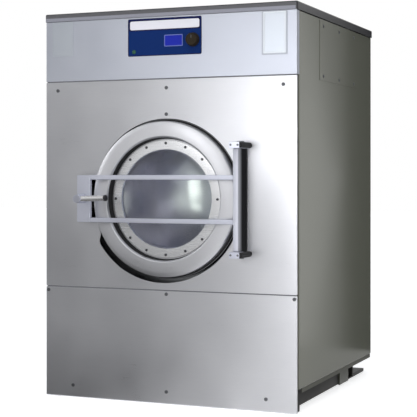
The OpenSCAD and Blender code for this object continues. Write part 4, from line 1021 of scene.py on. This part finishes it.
# %% Rear sheets
REAR, LOWER = extent("rear_panel"), extent("drive_cover")
REAR_Y = REAR[1][1]
INLET_XS, INLET_Z, INLET_R = (-60.0, 60.0), 1168.0, 13.2
GLAND_X, GLAND_Z, GLAND_R = -300.0, 1188.0, 9.0
DRAIN_R, DRAIN_Z = 38.0, 125.0
LOUVRE_X, LOUVRE_W, LOUVRES, SLOT_H = 210.0, 260.0, 8, 5
LOUVRE_ZS = [240.0 + 14.0 * i for i in range(LOUVRES)]
SIDES = (-1, 1)


def facing_back(across, back, up):
    return at(across, REAR_Y - back, up)


def rear_hole(x, z, radius):
    return along_y(x, z, REAR_Y - 20, REAR_Y + 5, radius)


upper, lower = (folded(name, *xz(span), 8, 1.5, facing_back, 1.2)
                for name, span in (("rear_upper_sheet", REAR), ("rear_drive_sheet", LOWER)))
cut(upper, *[rear_hole(x, INLET_Z, INLET_R + 9) for x in INLET_XS],
    rear_hole(GLAND_X, GLAND_Z, GLAND_R + 5.4))
cut(lower, boxes([
    ((s * LOUVRE_X - LOUVRE_W / 2, REAR_Y - 20, z), (s * LOUVRE_X + LOUVRE_W / 2, REAR_Y + 5, z + SLOT_H))
    for z in LOUVRE_ZS for s in SIDES]), rear_hole(0, DRAIN_Z, DRAIN_R + 3))
piece(upper, galvanised, ["rear_panel"], bevel=0.2, angle=60)
piece(lower, galvanised, ["drive_cover"], bevel=0.2, angle=60)
print("rear sheets", len(upper.data.polygons), len(lower.data.polygons), "faces")

# %% [markdown]
# The hood is a bent strip whose ends run down to the sheet. It is drawn once,
# lying on its back, and the node tree puts one over each slot. The rear screws
# use the same tree.


# %% Louvre hoods and rear screws
def hood_pattern(width, high, reach, wall=1.0):
    bm, half = bmesh.new(), width / 2
    sections = []
    for x, k in ((-half - 5, 0.06), (-half - 1, 0.75), (-half + 3, 1.0), (half - 3, 1.0), (half + 1, 0.75),
                 (half + 5, 0.06)):
        bend = [radians(a) for a in range(0, 91, 18)]
        outer = [(reach * k * sin(a), -high * cos(a)) for a in bend]
        inner = [((reach - wall) * k * sin(a), (wall - high) * cos(a)) for a in reversed(bend)]
        sections.append([bm.verts.new((x * MM, (y + 1.5) * MM, (z - 0.3) * MM)) for z, y in outer + inner])
    return new_object("hood_pattern", skin(bm, sections))


hood = hood_pattern(LOUVRE_W, 9.0, 6.0)
set_out("louvre_hoods", hood, [((s * LOUVRE_X, REAR_Y, z + 1.5), BACKWARD) for z in LOUVRE_ZS for s in SIDES],
        galvanised, turn_most=0.0)
rear_places = [(s * (REAR[1][0] - 12), REAR_Y, z) for s in SIDES
               for z in (REAR[0][2] + 14, (REAR[0][2] + REAR[1][2]) / 2, REAR[1][2] - 14)]
rear_places += [(s * (LOWER[1][0] - 12), REAR_Y, z) for s in SIDES
                for z in (LOWER[0][2] + 14, 300, 500, 700, LOWER[1][2] - 14)]
rear_places += [(x, REAR_Y, LOWER[1][2] - 14) for x in (-200, 0, 200)]
set_out("rear_sheet_screws", panel_screw, [(p, BACKWARD) for p in rear_places], screw_steel)

# %% [markdown]
# The two water inlets are threaded spigots on a moulded valve block. The mains
# gland has a hexagon on each side of the sheet and a round cap. The drain
# spigot ends in a bead that holds a hose clip.

# %% Inlets
VALVES = extent("inlet_valves")
SPIGOT_END, BORE_R, THREAD_PITCH = VALVES[1][1], INLET_R - 3, 2.1
BLOCK = ((-95, REAR_Y - 90, 1113), (95, REAR_Y - 45, 1193))
block = new_object("inlet_valve_block", boxes([BLOCK]))
cut(block, *[along_y(x, INLET_Z, REAR_Y - 60, REAR_Y, BORE_R) for x in INLET_XS])
piece(block, white_plastic, ["inlet_valves"], bevel=2.0)

outline = [(BORE_R, REAR_Y - 50), (INLET_R, REAR_Y - 50), (INLET_R, REAR_Y - 46.5),
           (INLET_R + 8, REAR_Y - 46), (INLET_R + 8, REAR_Y + 0.5), (INLET_R + 7, REAR_Y + 1.5),
           (INLET_R + 0.6, REAR_Y + 1.5), (INLET_R + 0.6, REAR_Y + 7)]
y = REAR_Y + 8
while y < SPIGOT_END - 3:
    outline += [(INLET_R, y), (INLET_R, y + THREAD_PITCH / 3), (INLET_R - 1.1, y + THREAD_PITCH * 2 / 3)]
    y += THREAD_PITCH
outline += [(INLET_R - 1.0, SPIGOT_END - 1.5), (INLET_R - 2.0, SPIGOT_END), (BORE_R, SPIGOT_END)]
spigots, coils = bmesh.new(), bmesh.new()
for x in INLET_XS:
    turn(outline, x, INLET_Z, 48, spigots)
    rod((x, REAR_Y - 67.5, 1190), (x, REAR_Y - 67.5, VALVES[1][2]), 18.0, 2.5, 40, coils)
build("threaded_inlets", spigots, white_plastic, angle=30)
build("valve_coils", coils, black_plastic)
print("thread", round(SPIGOT_END - REAR_Y - 8, 1), "mm")

# %% Gland and drain bead
outline = [(0, -11), (5, -11), (5, 9), (9, 9.5), (9, 14), (7, 19), (3, 21.5), (0, 21.5)]
gland = turn([(GLAND_R + r, REAR_Y + y) for r, y in outline], GLAND_X, GLAND_Z, 48)
corners = [around(GLAND_R + 10, 0, pi / 2 - a, GLAND_X, GLAND_Z) for a in turns(6)]
for y0, y1 in ((0, 9), (-9.5, -1.5)):
    slab([(x, z) for x, _, z in corners], REAR_Y + y0, REAR_Y + y1, gland)
build("mains_cable_gland", gland, black_plastic, ["cable_gland"], bevel=0.8, angle=40)
bead = [(DRAIN_R + r, y) for r, y in ((-0.5, 927), (1.6, 930), (2, 932), (1.6, 934), (-0.5, 937))]
build("drain_hose_bead", turn(bead, 0, DRAIN_Z, 96), grey_plastic, angle=60)
print("gland at", GLAND_X, GLAND_Z)

# %% [markdown]
# ## The base
# The rails are channels bent from 5 mm plate, so their outer corners are round.
# The rear beam is a rectangular tube with open ends. All of them are painted,
# and each edge is a little soft from that paint.


# %% Rails, beams and foot plate
def both_sides(x0, x1, y0, y1, z0, z1):
    """The same box on the right and on the left."""
    return [((min(s * x0, s * x1), y0, z0), (max(s * x0, s * x1), y1, z1)) for s in SIDES]


RAIL, FOOT, SILL = extent("base_rail_right"), extent("rear_foot_plate"), extent("cabinet_sills")
RAIL_IN, RAIL_OUT, RAIL_FRONT, BEAM_Y, RAIL_H = RAIL[0][0], RAIL[1][0], RAIL[0][1], RAIL[1][1], RAIL[1][2]
RAIL_T, BEAM_END, BEAM_FRONT, BEAM_X = 5.0, FOOT[0][1], 12.0, 403
HOLE_X, HOLE_FRONT, HOLE_REAR, HOLE_R = RAIL_OUT - 32, 140.0, FOOT[1][1] - 60, 9.0


def bolt_hole(side, y, top):
    return rod((side * HOLE_X, y, -5), (side * HOLE_X, y, top), HOLE_R)


def tube(name, x, overhang, y0, y1, back_wall):
    """A beam from -x to x, hollow along its length."""
    return cut(new_object(name, boxes([((-x, y0, 0), (x, y1, RAIL_H))])), boxes([
        ((-x - overhang, y0 + RAIL_T, RAIL_T), (x + overhang, y1 - back_wall, RAIL_H - RAIL_T))]))


OUTER, INNER = 7, 2.5
for name, side in (("base_rail_right", 1), ("base_rail_left", -1)):
    outline = [(RAIL_IN, 0)] + arc(RAIL_OUT - OUTER, OUTER, OUTER, -90, 0, 5)
    outline += arc(RAIL_OUT - OUTER, RAIL_H - OUTER, OUTER, 0, 90, 5)
    outline += [(RAIL_IN, RAIL_H), (RAIL_IN, RAIL_H - RAIL_T)]
    outline += arc(RAIL_OUT - RAIL_T - INNER, RAIL_H - RAIL_T - INNER, INNER, 90, 0, 3)
    outline += arc(RAIL_OUT - RAIL_T - INNER, RAIL_T + INNER, INNER, 0, -90, 3) + [(RAIL_IN, RAIL_T)]
    rail = new_object("bent_" + name, slab([(side * x, z) for x, z in outline], RAIL_FRONT, BEAM_Y))
    cut(rail, bolt_hole(side, HOLE_FRONT, 15))
    piece(rail, frame_paint, [name], bevel=0.5, angle=60)

piece(tube("rear_beam", RAIL_OUT, 9, BEAM_Y, BEAM_END, RAIL_T), frame_paint, ["base_beams"],
      bevel=1.8, segments=3)
piece(tube("front_beam", BEAM_X, 17, BEAM_FRONT, RAIL_FRONT, -9), frame_paint, bevel=1.0)
build("leg_plates", boxes(both_sides(RAIL_OUT, RAIL_OUT + 6, BEAM_Y - 109, BEAM_Y, 0, RAIL_H - 15)),
      leg_paint, bevel=0.8)
foot = new_object("rear_foot", boxes([((-RAIL_OUT, BEAM_END, 0), (RAIL_OUT, FOOT[1][1], 12))]))
cut(foot, *[bolt_hole(s, HOLE_REAR, 20) for s in SIDES])
piece(foot, frame_paint, ["rear_foot_plate"], bevel=1.2)
build("rear_foot_flange", boxes([((-RAIL_OUT, BEAM_END, 11), (RAIL_OUT, BEAM_END + 5, RAIL_H - 2))]),
      frame_paint, bevel=1.0)
SILL_T, SILL_OUT, SILL_TOP = 2, SILL[1][0], SILL[1][2]
build("folded_sills", boxes(
    both_sides(RAIL_OUT, SILL_OUT, SILL[0][1], SILL[1][1], SILL_TOP - SILL_T, SILL_TOP)
    + both_sides(SILL_OUT - SILL_T, SILL_OUT, SILL[0][1], SILL[1][1], SILL[0][2], SILL_TOP - SILL_T)),
      leg_paint, ["cabinet_sills"], bevel=0.5)
print("rails", RAIL, "foot", FOOT)

# %% [markdown]
# ## The drum
# The drum is rolled from stainless sheet with a folded mouth. Its wall is full
# of drain holes. They are about 5 mm wide, and drawn as shallow dimples 30 mm
# apart whose dark colour is painted shade inside the holes, set out by the
# node tree, so that the mesh stays light. Three lifters with round backs tumble
# the laundry.

# %% Drum shell and lifters
DRUM = extent("drum_shell")
DRUM_R, DRUM_Y, DRUM_END, MOUTH_R, SHAFT_R, SKIN = DRUM[1][0], DRUM[0][1], DRUM[1][1], 222.0, 30.0, 3.0
EDGE = 10
END_R = DRUM_R - EDGE
outline = [(MOUTH_R, DRUM_Y + SKIN)] + arc(MOUTH_R + 4, DRUM_Y + 4, 4, 180, 270, 5)
outline += arc(END_R, DRUM_Y + EDGE, EDGE, -90, 0, 6) + arc(END_R, DRUM_END - EDGE, EDGE, 0, 90, 6)
outline += [(SHAFT_R, DRUM_END), (SHAFT_R, DRUM_END - SKIN), (END_R, DRUM_END - SKIN)]
outline += arc(END_R, DRUM_END - EDGE, EDGE - SKIN, 80, 0, 5)
outline += arc(END_R, DRUM_Y + EDGE, EDGE - SKIN, 0, -90, 5)
outline += [(MOUTH_R + 4, DRUM_Y + SKIN), (MOUTH_R + 3, DRUM_Y + 5), (MOUTH_R + 3, DRUM_Y + 12),
            (MOUTH_R, DRUM_Y + 12)]
build("rolled_drum", turn(outline, steps=180), mill_steel, ["drum_shell"], "drum", angle=40)

LIFTER_W, LIFTER_H = 96, 66
lifters = bmesh.new()
for turned in (Matrix.Rotation(a, 4, "Y") for a in turns(3)):
    sections = []
    for y, grow in ((DRUM_Y + 14, 0.86), (DRUM_Y + 24, 1.0), (DRUM_END - 24, 1.0), (DRUM_END - 14, 0.86)):
        places = []
        for a in range(0, 181, 15):
            c, s = cos(radians(a)), sin(radians(a))
            places.append(turned @ Vector((copysign(LIFTER_W / 2 * grow * abs(c) ** 1.4, c), 0,
                                           LIFTER_H * grow * s ** 0.8 - (DRUM_R - 6))))
        sections.append([lifters.verts.new(at(p.x, y, DRUM_Z + p.z)) for p in places])
    skin(lifters, sections)
build("pressed_lifters", lifters, mill_steel, ["drum_lifters"], "drum", angle=60)
print("drum radius", DRUM_R, "from", DRUM_Y, "to", DRUM_END)

# %% Drain holes
ROWS, IN_ROW, PITCH, BACK_PITCH, LIFTER_HALF_ANGLE = 19, 76, 30, 34, 10
dimple = bmesh.new()
skin(dimple, [[spot(dimple, r, a, z) for a in turns(12)]
              for r, z in ((3.0, -0.4), (2.7, 0.15), (2.2, 0.15), (1.9, -0.3))])
dimple = new_object("drain_hole_pattern", dimple)
wall = []
for row in range(ROWS):
    for k in range(IN_ROW):
        a = 2 * pi * (k + 0.5 * (row % 2)) / IN_ROW
        if min(abs((degrees(a) - t) % 360 - 180) for t in (0, 120, 240)) > LIFTER_HALF_ANGLE:
            wall.append((around(DRUM_R - SKIN, DRUM_Y + PITCH * (row + 1), a), (-sin(a), 0, -cos(a))))
for radius in range(90, 350, 32):
    wall += [(around(radius, DRUM_END - SKIN, a), FORWARD) for a in turns(int(2 * pi * radius / BACK_PITCH))]
set_out("drum_drain_holes", dimple, wall, hole_shade, body="drum", turn_most=0.0)

# %% [markdown]
# A grey sealing strip lies just behind the front in each seam between two panels.

# %% Sealing strips in the seams
seams = ((SERVICE[1][2], DOOR[0][2]), (DOOR[1][2], CONTROL[0][2]))
build("seam_strips", boxes([((4 - HALF, 0.9, low - 0.5), (HALF - 4, 2.4, high + 0.5))
                            for low, high in seams]), seam_foam)
print("seams", [round(high - low, 2) for low, high in seams])

# %% [markdown]
# ## Controls
# The control overlay is a printed film: a dark border, a navy field and a pale
# strip whose words are left out. Each print is its own thin layer with the
# finish of the film. The display is a blue pane in a blue grey frame.

# %% Control overlay
OVERLAY, WINDOW = extent("control_overlay"), extent("display_window")
navy_film = coated("navy printed polyester film", "#0D2A62", 0.5, 0.0006, 0.00002, second="#0C2558",
                   gloss=0.05)
border_film = coated("dark printed polyester film", "#14143A", 0.5, 0.0006, 0.00002, gloss=0.1)
white_film = coated("white printed polyester film", "#D4D3DA", 0.5, 0.0006, 0.00002, gloss=0.2)
display_plastic = coated("blue display acrylic", "#202A96", 0.2, 0.002, 0.00001, spread=0.02, gloss=0.05)
frame_plastic = coated("blue grey ABS", "#5C69A8", 0.35, 0.0005, 0.00003, gloss=0.2)
lamp_plastic = coated("green lamp acrylic", "#1E4A38", 0.15, 0.001, 0.00002, spread=0.03)

x0, x1, z0, z1 = xz(OVERLAY)
build("overlay_border", inset_plate(x0, x1, z0, z1, 0, 5, -0.6, 0.0), border_film, ["control_overlay"],
      bevel=0.15)
build("overlay_field", inset_plate(x0, x1, z0, z1, 3, 4, -0.7, -0.5), navy_film)
build("overlay_band", inset_plate(x0, x1, z1 - 45, z1, 4, 4, -0.75, -0.6), border_film, bevel=0.02)
build("overlay_strip", inset_plate(x0, x1, z1 - 45, z1, 8, 6, -0.85, -0.7, 8), white_film)
bezel = cut(new_object("display_bezel", inset_plate(*xz(WINDOW), 0, 3, -2.2, -0.7)),
            inset_plate(*xz(WINDOW), 3, 2, -9, -1.5))
piece(bezel, frame_plastic, ["display_window"], bevel=0.3)
build("display_pane", inset_plate(*xz(WINDOW), 3, 2, -1.7, -1.2), display_plastic)
print("overlay", x1 - x0, "x", z1 - z0, "mm")

# %% [markdown]
# The knob is turned and fluted: its radius goes in and out round the rim, and
# a shallow dish with a pointer line marks its top.


# %% Knob and lamp
def middle(span):
    return (span[0][0] + span[1][0]) / 2, (span[0][2] + span[1][2]) / 2


KNOB, LAMP = extent("control_knob"), extent("status_lamp")
(knob_x, knob_z), (lamp_x, lamp_z) = middle(KNOB), middle(LAMP)
KNOB_R, KNOB_FRONT, KNOB_BACK = (KNOB[1][0] - KNOB[0][0]) / 2, KNOB[0][1], KNOB[1][1]
FLUTES, FLUTE_DEPTH = 24, 0.7
profile = [(KNOB_R, KNOB_BACK, 0), (KNOB_R, KNOB_BACK - 1.5, 0), (KNOB_R - 0.8, KNOB_BACK - 2.5, 1),
           (KNOB_R - 2.0, KNOB_FRONT + 3.0, 1), (KNOB_R - 3.0, KNOB_FRONT + 1.0, 0.5),
           (KNOB_R - 4.6, KNOB_FRONT, 0), (KNOB_R - 6.0, KNOB_FRONT + 0.4, 0),
           (KNOB_R - 7.0, KNOB_FRONT + 0.9, 0)]
knob = bmesh.new()
skin(knob, [[knob.verts.new(at(*around(r - flute * FLUTE_DEPTH * (0.5 - 0.5 * cos(FLUTES * a)), y, a,
                                       knob_x, knob_z))) for a in turns(FLUTES * 8)]
            for r, y, flute in profile])
knob = build("fluted_knob", knob, knob_plastic, ["control_knob"], "knob", angle=40)
pointer = boxes([((knob_x - 0.8, KNOB_FRONT + 0.3, knob_z + 4),
                  (knob_x + 0.8, KNOB_FRONT + 1.0, knob_z + 14))])
build("knob_pointer", pointer, grey_plastic, body="knob", bevel=0.2)
lens = [(7.0, -0.7), (7.0, -2.0), (6.2, -2.8), (4.5, -3.4), (2.2, -3.7), (0.3, -3.8), (0.3, -0.7)]
build("lamp_lens", turn(lens, lamp_x, lamp_z, 48), lamp_plastic, ["status_lamp"], angle=50)
print("knob", len(knob.data.polygons), "faces")

# %% [markdown]
# The two plates that would carry words are thin metal with a raised rim. The
# right one lies in a darker rim of its own, with a pale foil in its middle.
# They stay bare.


# %% Bare label plates
def rimmed_plate(name, x0, x1, z0, z1, thick, rim):
    return cut(new_object(name, inset_plate(x0, x1, z0, z1, 0, 2.5, -thick, 0.0)),
               inset_plate(x0, x1, z0, z1, rim, 1.5, -9, -thick / 2))


RIM_SPAN = (HALF - 119, HALF - 32, LID_LOW - 142, LID_LOW - 2)
RIGHT_SPAN = (HALF - 114, HALF - 37, LID_LOW - 137, LID_LOW - 4)
LEFT_SPAN = (25 - HALF, 105 - HALF, LID_LOW - 120, LID_LOW - 2)
right_rim = piece(rimmed_plate("right_label_rim", *RIM_SPAN, 1.2, 5), label_rim, ["label_plates"], bevel=0.3)
right_label = piece(rimmed_plate("right_label_plate", *RIGHT_SPAN, 1.8, 5), label_metal, bevel=0.3)
right_foil = build("right_label_foil", inset_plate(*RIGHT_SPAN, 5.2, 1.2, -1.1, -0.8), faint_label,
                   bevel=0.05)
left_label = piece(rimmed_plate("left_label_plate", *LEFT_SPAN, 0.8, 4), faint_label, bevel=0.2)
print("label plates", [round(made.dimensions.x / MM) for made in (left_label, right_rim)], "mm wide")

# %% [markdown]
# Three more soft boxes stand where the right half of the front, the door ring's
# left side and its top mirror them. Only the named pieces see each one, so the
# glass and the paint keep their quiet reflections.

# %% Boxes for the metal's reflections
RING_MIDDLE = (0, -0.4, 0.8)
only_for(soft_box("panel light", (0.23, -3.0, 0.66), (0.23, 0, 0.66), (1.04, 1.3), 28),
         lever, door_front, service, control, plate, studs, post_shell, faces, right_rim, right_label,
         right_foil, left_label)
only_for(soft_box("ring light", (-1.15, -1.72, 1.31), RING_MIDDLE, (1.8, 0.85), 15), ring, clamp, bars, lever)
only_for(soft_box("crown light", (-0.1, -1.7, 2.3), RING_MIDDLE, (1.6, 1.0), 7), ring)
print("lamps", len(bpy.data.lights))

# %% [markdown]
# ## Clearing up
# The pattern pieces have done their work.

# %% Finish
for pattern in (panel_screw, cover_screw, bracket_screw, clamp_screw, hood, dimple):
    bpy.data.objects.remove(pattern)
